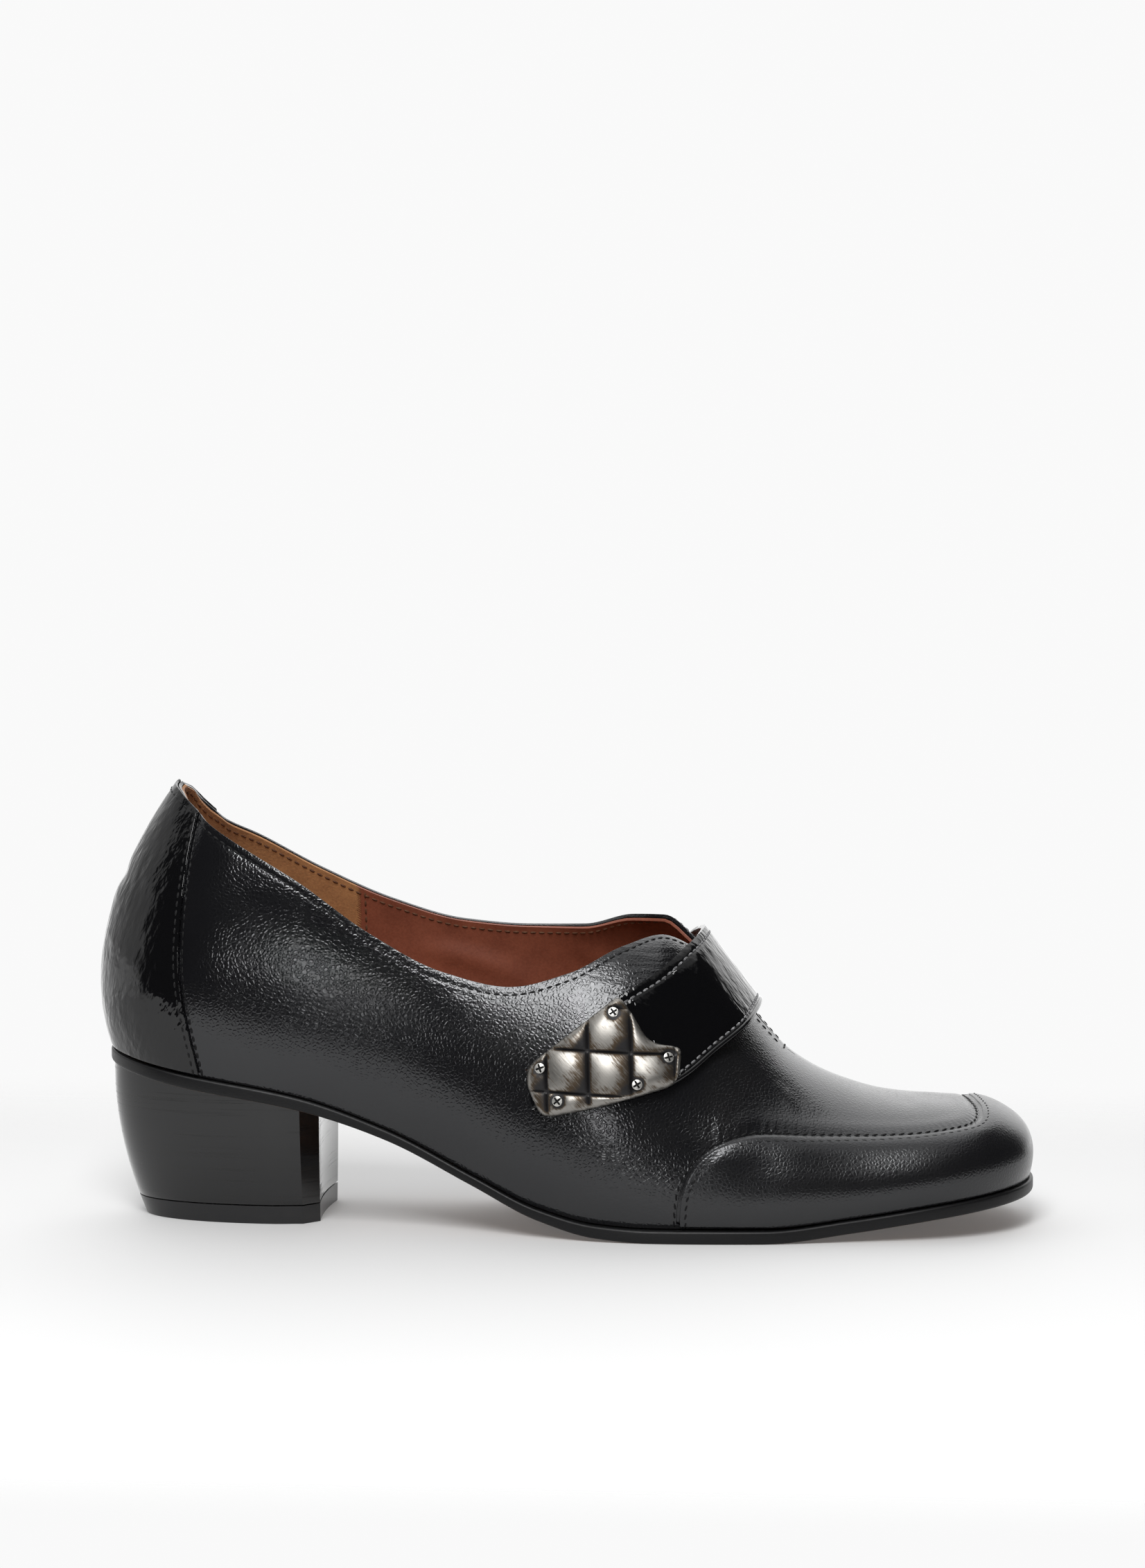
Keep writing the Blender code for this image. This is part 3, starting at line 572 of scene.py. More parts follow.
def bend_grid(columns: int, rows: int, place: Place, weld: float = 0.02) -> bmesh.types.BMesh:
    """A grid bent into shape.

    Args:
        columns: Faces along.
        rows: Faces across.
        place: Takes the shares along and across and gives the points in millimetres.
        weld: Points closer than this become one.

    Returns:
        The mesh in metres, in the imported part's frame.
    """
    edit = bmesh.new()
    bmesh.ops.create_grid(edit, x_segments=columns, y_segments=rows, size=0.5)
    shares = np.array([vert.co[:2] for vert in edit.verts]) + 0.5
    patch = place(shares[:, 0], shares[:, 1])
    spots = (patch.spots + SHIFT) * MM
    for vert, spot in zip(edit.verts, spots.tolist()):
        vert.co = spot
    for name, values in patch.marks.items():
        layer = edit.verts.layers.float.new(name)
        for vert, value in zip(edit.verts, values.tolist()):
            vert[layer] = value
    bmesh.ops.remove_doubles(edit, verts=edit.verts, dist=weld * MM)
    bmesh.ops.dissolve_degenerate(edit, edges=edit.edges, dist=SLIVER * MM)
    return edit


def make_piece(
    name: str,
    edit: bmesh.types.BMesh,
    finish: bpy.types.Material,
    stands_for: Sequence[str] = (),
    smooth: float = 40.0,
) -> bpy.types.Object:
    """A piece of the shoe from a bmesh.

    Args:
        name: The piece's name.
        edit: Its mesh, in place.
        finish: Its material.
        stands_for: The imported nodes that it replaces.
        smooth: Edges sharper than this many degrees stay sharp.

    Returns:
        The new object, riding on the shoe.
    """
    mesh = bpy.data.meshes.new(name)
    edit.to_mesh(mesh)
    edit.free()
    mesh.materials.append(finish)
    mesh.shade_smooth()
    mesh.set_sharp_from_angle(angle=math.radians(smooth))
    made = bpy.data.objects.new(name, mesh)
    bpy.context.scene.collection.objects.link(made)
    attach(made, BODY)
    if stands_for:
        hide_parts(*stands_for)
    LOG.info("%s: %d faces", name, len(mesh.polygons))
    return made


def thicken(
    made: bpy.types.Object,
    thickness: float,
    edge: float = 0.0,
    inside: Optional[bpy.types.Material] = None,
) -> bpy.types.Object:
    """Gives a sheet its thickness inward, and rounds its edges.

    Args:
        made: The sheet.
        thickness: Its thickness in millimetres.
        edge: Radius of the rounded edges in millimetres.
        inside: Material of the inner face, where it has its own.

    Returns:
        The same object.
    """
    wall = made.modifiers.new("thickness", "SOLIDIFY")
    if inside:
        made.data.materials.append(inside)
        wall.material_offset = 1
    wall.thickness = thickness * MM
    wall.offset = -1
    wall.use_even_offset = True
    if edge:
        rounding = made.modifiers.new("edge", "BEVEL")
        rounding.width = edge * MM
        rounding.segments = EDGE_SEGMENTS
        rounding.limit_method = "ANGLE"
        rounding.angle_limit = EDGE_ANGLE
        rounding.use_clamp_overlap = True
    return made


# How far a crease bows, and how it fades in and out along its length
FOLD_BOW = 0.06
FOLD_START = Rise(-0.12, 0.35)
FOLD_END = Rise(1.12, 0.6)


def fold_relief(folds: Sequence[Fold], spots: Array) -> Array:
    """Height of hand-placed creases at points of the shoe."""
    height = np.zeros(len(spots))
    outer = spots[:, 1] < LAST.swing(spots[:, 0])
    for fold in folds:
        run = np.array((fold.end_x - fold.x, fold.end_up - fold.up))
        length = float(np.linalg.norm(run))
        from_start = spots[:, [0, 2]] - np.array((fold.x, fold.up))
        along = from_start @ run / length**2
        bow = FOLD_BOW * length * np.sin(math.pi * np.clip(along, 0, 1))
        away = from_start @ np.array((-run[1], run[0])) / length - bow
        crease = Hump(0, fold.width, fold.height)(away) * (FOLD_START(along) * FOLD_END(along))
        height += np.where(outer == (fold.side is Side.OUTER), crease, 0)
    return height


@dataclass
class Seam:
    """A line laid on the shoe, with the outward direction at each of its points."""

    spots: Array
    outs: Array

    @classmethod
    def on_upper(cls, s: Array, t: Array, lift: Union[float, Array] = 0.0) -> "Seam":
        """A line on the upper at a height above its face."""
        outs = LAST.normal(s, t)
        return cls(LAST.point(s, t) + np.reshape(lift, (-1, 1)) * outs, outs)

    def ways(self) -> Array:
        """Direction along the line at each point."""
        return unit(np.gradient(self.spots, axis=0))

    def moved(self, aside: float, lift: float) -> "Seam":
        """The line moved to its left, seen from outside, and outward."""
        left = np.cross(self.outs, self.ways())
        return Seam(self.spots + aside * left + lift * self.outs, self.outs)

    def paced(self, pitch: float) -> "Seam":
        """The line with its points an even pitch apart."""
        steps = np.linalg.norm(np.diff(self.spots, axis=0), axis=1)
        walk = np.concatenate([[0], np.cumsum(steps)])
        marks = np.linspace(0, walk[-1], max(2, round(walk[-1] / pitch) + 1))
        spots = np.stack([np.interp(marks, walk, self.spots[:, i]) for i in range(3)], axis=1)
        outs = np.stack([np.interp(marks, walk, self.outs[:, i]) for i in range(3)], axis=1)
        return Seam(spots, unit(outs))


def ridge(seam: Seam, half_width: float, rows: int, profile: Curve) -> bmesh.types.BMesh:
    """A raised strip along a line.

    Args:
        seam: Where it runs.
        half_width: Half its width in millimetres.
        rows: Faces across.
        profile: Height over the line by the place across, from -1 to 1.

    Returns:
        The strip's upper face.
    """
    count = len(seam.spots) - 1
    left = np.cross(seam.outs, seam.ways())

    def place(along: Array, across: Array) -> Patch:
        """Points of the strip."""
        i = nearest(along, count)
        w = 1 - 2 * across
        lift = profile(w)[:, None] * seam.outs[i]
        return Patch(seam.spots[i] - w[:, None] * half_width * left[i] + lift, {"run": along})

    return bend_grid(count, rows, place)


Operand = Union["Value", float]


class Value:
    """A shader value that takes part in Python expressions."""

    def __init__(self, bench: "Bench", socket: bpy.types.NodeSocket) -> None:
        """Wraps an output socket."""
        self.bench = bench
        self.socket = socket

    def __add__(self, other: Operand) -> "Value":
        """Sum of two values."""
        return self.bench.math("ADD", self, other)

    def __sub__(self, other: Operand) -> "Value":
        """Difference of two values."""
        return self.bench.math("SUBTRACT", self, other)

    def __rsub__(self, other: Operand) -> "Value":
        """A number less this value."""
        return self.bench.math("SUBTRACT", other, self)

    def __mul__(self, other: Operand) -> "Value":
        """Product of two values."""
        return self.bench.math("MULTIPLY", self, other)

    __radd__ = __add__
    __rmul__ = __mul__

    def step(self, low: float, high: float) -> "Value":
        """A soft step from 0 at low to 1 at high."""
        turned = low > high
        ends = (high, low) if turned else (low, high)
        made = self.bench.node(
            "ShaderNodeMapRange",
            {"interpolation_type": "SMOOTHSTEP"},
            {"Value": self, "From Min": ends[0], "From Max": ends[1]},
        )
        stepped = Value(self.bench, made.outputs[0])
        return 1 - stepped if turned else stepped


class Bench:
    """A node tree being filled."""

    def __init__(self, tree: bpy.types.NodeTree) -> None:
        """Takes the tree to work on."""
        self.tree = tree

    def node(
        self, kind: str, settings: Optional[dict] = None, sockets: Optional[dict] = None
    ) -> bpy.types.Node:
        """A new node.

        Args:
            kind: The node's type.
            settings: Its properties, set first.
            sockets: Values or links of its inputs, by name or identifier.

        Returns:
            The node.
        """
        made = self.tree.nodes.new(kind)
        for name, setting in (settings or {}).items():
            setattr(made, name, setting)
        for name, given in (sockets or {}).items():
            self.fill(next(s for s in made.inputs if s.enabled and name in (s.name, s.identifier)), given)
        return made

    def fill(self, socket: bpy.types.NodeSocket, given: object) -> None:
        """Links a socket, or sets its value."""
        if isinstance(given, Value):
            given = given.socket
        if isinstance(given, bpy.types.NodeSocket):
            self.tree.links.new(given, socket)
        else:
            socket.default_value = (*given, 1.0) if socket.type == "RGBA" else given

    def math(self, operation: str, *operands: Operand) -> Value:
        """A value worked out from one or two others."""
        sockets = dict(zip(("Value", "Value_001"), operands))
        return Value(self, self.node("ShaderNodeMath", {"operation": operation}, sockets).outputs[0])

    def vector(self, operation: str, *operands: object) -> bpy.types.Node:
        """A vector worked out from one or two others."""
        sockets = dict(zip(("Vector", "Vector_001"), operands))
        return self.node("ShaderNodeVectorMath", {"operation": operation}, sockets)

    def spot(self, stretch: Triple = (1, 1, 1), turn: float = 0.0) -> bpy.types.NodeSocket:
        """Object coordinates, turned about Y and then scaled along the axes."""
        here = self.node("ShaderNodeTexCoord").outputs["Object"]
        scale = tuple(1 / share for share in stretch)
        sockets = {"Vector": here, "Scale": scale, "Rotation": (0.0, turn, 0.0)}
        return self.node("ShaderNodeMapping", {"vector_type": "TEXTURE"}, sockets).outputs[0]

    def mark(self, name: str) -> Value:
        """A number that the mesh carries."""
        return Value(self, self.node("ShaderNodeAttribute", {"attribute_name": name}).outputs["Fac"])

    def noise(self, size: float, detail: float = 2.0, vector: Optional[bpy.types.NodeSocket] = None) -> Value:
        """Soft noise with features of a size in millimetres."""
        sockets = {"Vector": vector or self.spot(), "Scale": 1 / (size * MM), "Detail": detail}
        return Value(self, self.node("ShaderNodeTexNoise", None, sockets).outputs[0])

    def pebbles(self, size: float) -> Value:
        """Distance from the edges of pebbles of a size in millimetres."""
        sockets = {"Vector": self.spot(), "Scale": 1 / (size * MM)}
        made = self.node("ShaderNodeTexVoronoi", {"feature": "DISTANCE_TO_EDGE"}, sockets)
        return Value(self, made.outputs["Distance"])

    def blend(self, share: Operand, first: object, second: object) -> bpy.types.NodeSocket:
        """A colour between two others."""
        sockets = {"Factor": share, "A": first, "B": second}
        return self.node("ShaderNodeMix", {"data_type": "RGBA"}, sockets).outputs["Result"]

    def bump(
        self, height: Value, depth: float, under: Optional[bpy.types.NodeSocket] = None
    ) -> bpy.types.NodeSocket:
        """A relief of a depth in millimetres, over another relief."""
        sockets = {"Height": height, "Distance": depth * MM, "Strength": 1.0}
        if under:
            sockets["Normal"] = under
        return self.node("ShaderNodeBump", None, sockets).outputs[0]


class MaterialBench(Bench):
    """The node tree of a new material with one Principled shader."""

    def __init__(self, name: str) -> None:
        """Makes the material."""
        self.material = bpy.data.materials.new(name)
        self.material.use_nodes = True
        super().__init__(self.material.node_tree)
        self.shader = self.tree.nodes["Principled BSDF"]

    def finish(self, **inputs: object) -> bpy.types.Material:
        """Fills the shader's inputs, named with underscores, and gives the material."""
        for name, given in inputs.items():
            self.fill(self.shader.inputs[name.replace("_", " ")], given)
        return self.material


@dataclass(frozen=True)
class Calf:
    """Black calf leather with a fine grain, and creases where the marks say so."""

    name: str
    colour: Colour = (0.0048, 0.0048, 0.0058)
    dusty: Colour = (0.0075, 0.0073, 0.0078)
    tint: Colour = (0.97, 0.98, 1.0)
    rough: float = 0.1
    gloss: float = 0.66
    patch: float = 26.0
    pebble: float = 1.05
    fine: float = 0.45
    depth: float = 0.024
    creased: bool = False
    wrinkle: float = 11.0
    wrinkle_depth: float = 0.35
    gather_rate: float = 2.6
    gather_sway: float = 5.0
    gather_depth: float = 0.05

    def creases(self, bench: MaterialBench, under: bpy.types.NodeSocket) -> bpy.types.NodeSocket:
        """Wrinkles, and the gathers above the moc seam, over the skin's relief."""
        wrinkle = bench.noise(self.wrinkle, 3, bench.spot((1, 1, 8), 0.06)) * bench.mark("wrinkle")
        relief = bench.bump(wrinkle, self.wrinkle_depth, under)
        uneven = bench.noise(self.gather_sway)
        wave = bench.math("SINE", bench.mark("run") * self.gather_rate + uneven * 4)
        return bench.bump(wave * bench.mark("pucker") * uneven, self.gather_depth, relief)

    def make(self) -> bpy.types.Material:
        """The material."""
        bench = MaterialBench(self.name)
        patches = bench.noise(self.patch, 3)
        pores = bench.pebbles(self.pebble).step(0.02, 0.32)
        skin = (pores * 0.75 + bench.noise(self.fine, 3) * 0.25) * (0.45 + patches)
        rough = self.rough + (patches - 0.5) * 0.08 + (1 - pores) * 0.04
        if self.creased:
            grain = bench.mark("grain")
            relief = self.creases(bench, bench.bump(skin * (1 + grain), self.depth))
            rough = rough + grain * 0.1
        else:
            relief = bench.bump(skin, self.depth)
        return bench.finish(
            Base_Color=bench.blend(patches.step(0.4, 0.75), self.colour, self.dusty),
            Roughness=rough,
            Normal=relief,
            Specular_IOR_Level=self.gloss,
            Specular_Tint=self.tint,
        )


@dataclass(frozen=True)
class Patent:
    """Black patent leather: a mirror gloss that ripples a little."""

    name: str
    colour: Colour = (0.0025, 0.0025, 0.003)
    stretch: Triple = (1, 1, 0.4)
    turn: float = 0.35
    ripple: float = 2.0
    calm: float = 11.0
    depth: float = 0.34
    wave: float = 7.0
    sway: float = 0.25
    scuff: float = 12.0
    rough: float = 0.04
    scuffed: float = 0.05
    gloss: float = 0.5

    def make(self) -> bpy.types.Material:
        """The material."""
        bench = MaterialBench(self.name)
        ripples = bench.noise(self.ripple, vector=bench.spot(self.stretch, self.turn))
        calm = bench.noise(self.calm).step(0.3, 0.65)
        relief = bench.bump(bench.noise(self.wave), self.sway)
        relief = bench.bump(ripples * (0.35 + calm), self.depth, relief)
        scuffs = bench.noise(self.scuff, vector=bench.spot((1, 1, 9))).step(0.62, 0.8)
        return bench.finish(
            Base_Color=self.colour,
            Roughness=self.rough + scuffs * self.scuffed,
            Normal=relief,
            Specular_IOR_Level=self.gloss,
        )


@dataclass(frozen=True)
class Lining:
    """Lining leather, smooth or with a suede nap."""

    name: str
    colour: Colour
    shadow: Colour
    rough: float
    nap: float
    sheen: float = 0.0
    cloud: float = 9.0
    fibre: float = 0.7

    def make(self) -> bpy.types.Material:
        """The material."""
        bench = MaterialBench(self.name)
        clouds = bench.noise(self.cloud, 4)
        fibres = bench.noise(self.fibre, 4)
        mottle = (clouds * 0.6 + fibres * 0.4).step(0.3, 0.7)
        return bench.finish(
            Base_Color=bench.blend(mottle, self.shadow, self.colour),
            Roughness=self.rough + (fibres - 0.5) * 0.15,
            Normal=bench.bump(fibres + clouds * 0.4, self.nap),
            Sheen_Weight=self.sheen,
        )


@dataclass(frozen=True)
class AntiqueSilver:
    """Cast silver with dark patina in its hollows and a brushed, rubbed face; the hollow mark also carries
    painted shade on the front and lower side of each pillow.
    """

    name: str
    bright: Colour = (0.31, 0.297, 0.275)
    brown: Colour = (0.09, 0.066, 0.044)
    dark: Colour = (0.018, 0.017, 0.018)
    rough: float = 0.42
    stroke: float = 3.0
    cloud: float = 3.0
    depth: float = 0.03

    def make(self) -> bpy.types.Material:
        """The material."""
        bench = MaterialBench(self.name)
        # The hollow mark holds patina in the hollows plus painted shade on each pillow's front and lower side
        hollow = bench.mark("hollow")
        brushed = bench.noise(self.stroke, 3, bench.spot((1, 1, 9), 0.8))
        clouds = bench.noise(self.cloud, 4)
        stain = (hollow * 0.9 + (clouds - 0.5) * 1.1 + (brushed - 0.5) * 1.2).step(0.05, 0.6)
        black = (hollow + (clouds - 0.5) * 0.4 + (brushed - 0.5) * 0.2).step(0.5, 0.85)
        return bench.finish(
            Base_Color=bench.blend(black, bench.blend(stain, self.bright, self.brown), self.dark),
            Metallic=1.0 - black * 0.6,
            Roughness=self.rough + stain * 0.08 + (brushed - 0.5) * 0.2,
            Normal=bench.bump(brushed * 0.8 + clouds * 0.4, self.depth),
        )


@dataclass(frozen=True)
class ScrewMetal:
    """Bright worn metal of the screws, dark in the cross."""

    name: str
    bright: Colour = (0.66, 0.65, 0.62)
    dark: Colour = (0.02, 0.02, 0.02)
    rough: float = 0.34
    wear: float = 0.5

    def make(self) -> bpy.types.Material:
        """The material."""
        bench = MaterialBench(self.name)
        wear = bench.noise(self.wear, 3)
        hollow = bench.mark("hollow")
        shade = bench.blend((hollow + (wear - 0.5) * 0.4).step(0.3, 0.8), self.bright, self.dark)
        return bench.finish(Base_Color=shade, Metallic=1.0, Roughness=self.rough + wear * 0.16)


@dataclass(frozen=True)
class SoleLeather:
    """Sole leather: inked black on its edge and upper face, and natural underneath."""

    name: str
    ink: Colour = (0.004, 0.004, 0.0045)
    natural: Colour = (0.21, 0.105, 0.048)
    worn: Colour = (0.11, 0.062, 0.036)
    rough: float = 0.42
    gloss: float = 0.3
    scuff: float = 25.0
    fibre: float = 0.5
    layer: float = 16.0
    depth: float = 0.05

    def make(self) -> bpy.types.Material:
        """The material."""
        bench = MaterialBench(self.name)
        under = bench.mark("under")
        scuffs = bench.noise(self.scuff, 4, bench.spot((1, 4, 4)))
        fibres = bench.noise(self.fibre, 3)
        hide = bench.blend((scuffs * 0.7 + fibres * 0.3).step(0.35, 0.65), self.natural, self.worn)
        bare = (under + (fibres - 0.5) * 0.2).step(0.4, 0.6)
        layers = bench.noise(self.layer, 3, bench.spot((1, 1, 40)))
        return bench.finish(
            Base_Color=bench.blend(bare, self.ink, hide),
            Roughness=self.rough + bare * 0.15 + (fibres - 0.5) * 0.16,
            Normal=bench.bump(layers * 0.6 + fibres * 0.4, self.depth),
            Specular_IOR_Level=self.gloss,
        )


@dataclass(frozen=True)
class StackedHeel:
    """Black polished heel with the faint lines of its lifts."""

    name: str
    colour: Colour = (0.004, 0.004, 0.0046)
    lines: Colour = (0.002, 0.002, 0.002)
    rough: float = 0.1
    streak: float = 60.0
    gap: float = 14.0
    fine: float = 0.8
    depth: float = 0.014
    gloss: float = 0.3
    lacquer: float = 0.6
    lacquer_rough: float = 0.06

    def make(self) -> bpy.types.Material:
        """The material."""
        bench = MaterialBench(self.name)
        streaks = bench.noise(self.streak, 4, bench.spot((1, 1, 60)))
        line = streaks.step(0.5, 0.62) * bench.noise(self.gap).step(0.25, 0.7)
        fine = bench.noise(self.fine)
        return bench.finish(
            Base_Color=bench.blend(line, self.colour, self.lines),
            Roughness=self.rough + line * 0.22 + (fine - 0.5) * 0.04,
            Normal=bench.bump(1 - line + fine * 0.1, self.depth),
            Specular_IOR_Level=self.gloss,
            Coat_Weight=self.lacquer,
            Coat_Roughness=self.lacquer_rough,
        )


@dataclass(frozen=True)
class Rubber:
    """Hard black rubber of the heel's top piece."""

    name: str
    colour: Colour = (0.008, 0.008, 0.009)
    dust: Colour = (0.016, 0.015, 0.0145)
    rough: float = 0.2
    speckle: float = 0.6
    scuff: float = 16.0
    depth: float = 0.03

    def make(self) -> bpy.types.Material:
        """The material."""
        bench = MaterialBench(self.name)
        speckle = bench.noise(self.speckle, 4)
        scuffs = bench.noise(self.scuff, 3, bench.spot((1, 1, 4)))
        shade = bench.blend(scuffs.step(0.55, 0.8), self.colour, self.dust)
        relief = bench.bump(speckle, self.depth)
        return bench.finish(Base_Color=shade, Roughness=self.rough + speckle * 0.1, Normal=relief)


@dataclass(frozen=True)
class Thread:
    """Waxed thread: its colour, and the size and pitch of its stitches."""

    name: str
    colour: Colour = (0.004, 0.004, 0.0045)
    worn: Colour = (0.014, 0.014, 0.015)
    rough: float = 0.42
    pitch: float = 2.4
    length: float = 1.75
    radius: float = 0.33
    gloss: float = 0.25
    fuzz: float = 0.8
    twist: float = 0.6
    depth: float = 0.05
    segments: int = 6
    rings: int = 5

    def make(self) -> bpy.types.Material:
        """The material."""
        bench = MaterialBench(self.name)
        fuzz = bench.noise(self.fuzz, 3)
        twist = bench.noise(self.twist, vector=bench.spot((2, 2, 1), 0.7))
        return bench.finish(
            Base_Color=bench.blend(fuzz.step(0.4, 0.8), self.colour, self.worn),
            Roughness=self.rough + fuzz * 0.2,
            Normal=bench.bump(twist, self.depth),
            Specular_IOR_Level=self.gloss,
        )

    def sew(self, edit: bmesh.types.BMesh, seam: Seam, slant: float = 0.0) -> None:
        """Puts a row of stitches along a line.

        Args:
            edit: The mesh that takes them.
            seam: Where they go.
            slant: How far each turns off the line, in degrees.
        """
        row = seam.paced(self.pitch)
        cos, sin = math.cos(math.radians(slant)), math.sin(math.radians(slant))
        for spot, out, way in zip(row.spots, row.outs, row.ways()):
            way = unit(way - out * float(way @ out))
            aside = np.cross(out, way)
            way, aside = cos * way + sin * aside, cos * aside - sin * way
            axes = Matrix((aside * self.radius, out * self.radius, way * self.length / 2)).transposed()
            middle = Vector((spot + SHIFT).tolist())
            spin = Matrix.Translation(middle * MM) @ (axes * MM).to_4x4()
            bmesh.ops.create_uvsphere(
                edit, u_segments=self.segments, v_segments=self.rings, radius=1.0, matrix=spin
            )


@dataclass(frozen=True)
class Finishes:
    """The shoe's finishes, each of which makes a material for a piece."""

    calf: Calf = Calf("black_calf_upper", creased=True)
    wall: Calf = Calf("black_calf_toe", rough=0.22, depth=0.03)
    patent_back: Patent = Patent("black_patent_back")
    patent_strap: Patent = Patent("black_patent_strap", stretch=(1, 1, 0.35), turn=-0.3, gloss=0.35)
    patent_edge: Patent = Patent("black_patent_edge", depth=0.06, sway=0.1, gloss=0.7)
    silver: AntiqueSilver = AntiqueSilver("antique_silver_plate")
    screw: ScrewMetal = ScrewMetal("screw_metal_heads")
    suede: Lining = Lining(
        "lining_suede", (0.47, 0.215, 0.078), (0.3, 0.125, 0.042), rough=0.9, nap=0.12, sheen=0.25
    )
    smooth: Lining = Lining(
        "lining_smooth", (0.29, 0.085, 0.045), (0.2, 0.055, 0.029), rough=0.5, nap=0.04
    )
    sole: SoleLeather = SoleLeather("sole_leather_edge")
    heel: StackedHeel = StackedHeel("stacked_heel_black")
    rubber: Rubber = Rubber("lift_rubber_black")
    thread: Thread = Thread("black_thread")
    strap_thread: Thread = Thread(
        "grey_thread",
        (0.1, 0.1, 0.104),
        (0.4, 0.4, 0.41),
        rough=0.3,
        pitch=2.2,
        length=1.7,
        radius=0.34,
        gloss=0.5,
    )
    lining_thread: Thread = Thread("brown_thread", (0.12, 0.05, 0.026), (0.2, 0.1, 0.055), rough=0.6)


FINISH = Finishes()


@dataclass(frozen=True)
class CalfMarks:
    """Where the calf wrinkles, gathers above the moc seam and shows its grain."""

    tab_x: Hump = Hump(22, 12)
    tab_up: Rise = Rise(58, 68)
    rim: float = 0.18
    rim_drop: Rise = Rise(26, 4)
    rim_x: Rise = Rise(-95, -40)
    flex_x: Hump = Hump(45, 12, 0.1)
    flex_up: Hump = Hump(35, 8)
    gather_low: Rise = Rise(0.2, 1.5)
    gather_high: Rise = Rise(6.5, 1.5)
    quiet: float = 0.9
    quiet_drop: Rise = Rise(20, 7)
    quiet_x: Rise = Rise(-14, -40)
    heel_x: Rise = Rise(-104, -44)
    plain: float = 0.45
    instep: float = 0.55
    instep_up: Rise = Rise(44, 58)
    instep_x: Rise = Rise(44, 30)
    vamp: float = 0.35
    vamp_x: Rise = Rise(36, 48)

    def at(self, spots: Array, drop: Array, above: Array, open_rim: Array) -> Dict[str, Array]:
        """The marks at points of the upper.

        Args:
            spots: The points.
            drop: Their distance below the rim.
            above: Their distance above the moc seam.
            open_rim: 1 where the rim is free.

        Returns:
            The marks by name.
        """
        x, up = spots[:, 0], spots[:, 2]
        tab = self.tab_x(x) * self.tab_up(up) * open_rim
        rim = self.rim * self.rim_drop(drop) * open_rim * self.rim_x(x)
        flex = self.flex_x(x) * self.flex_up(up)
        calm = 1 - self.quiet * self.quiet_drop(drop) * self.quiet_x(x)
        instep = self.instep * self.instep_up(up) * self.instep_x(x)
        return {
            "wrinkle": np.clip(tab + rim + flex, 0, 1),
            "grain": calm * self.heel_x(x) * (self.plain + instep + self.vamp * self.vamp_x(x)),
            "pucker": np.where(above > 0, self.gather_low(above) * self.gather_high(above), 0.0),
        }


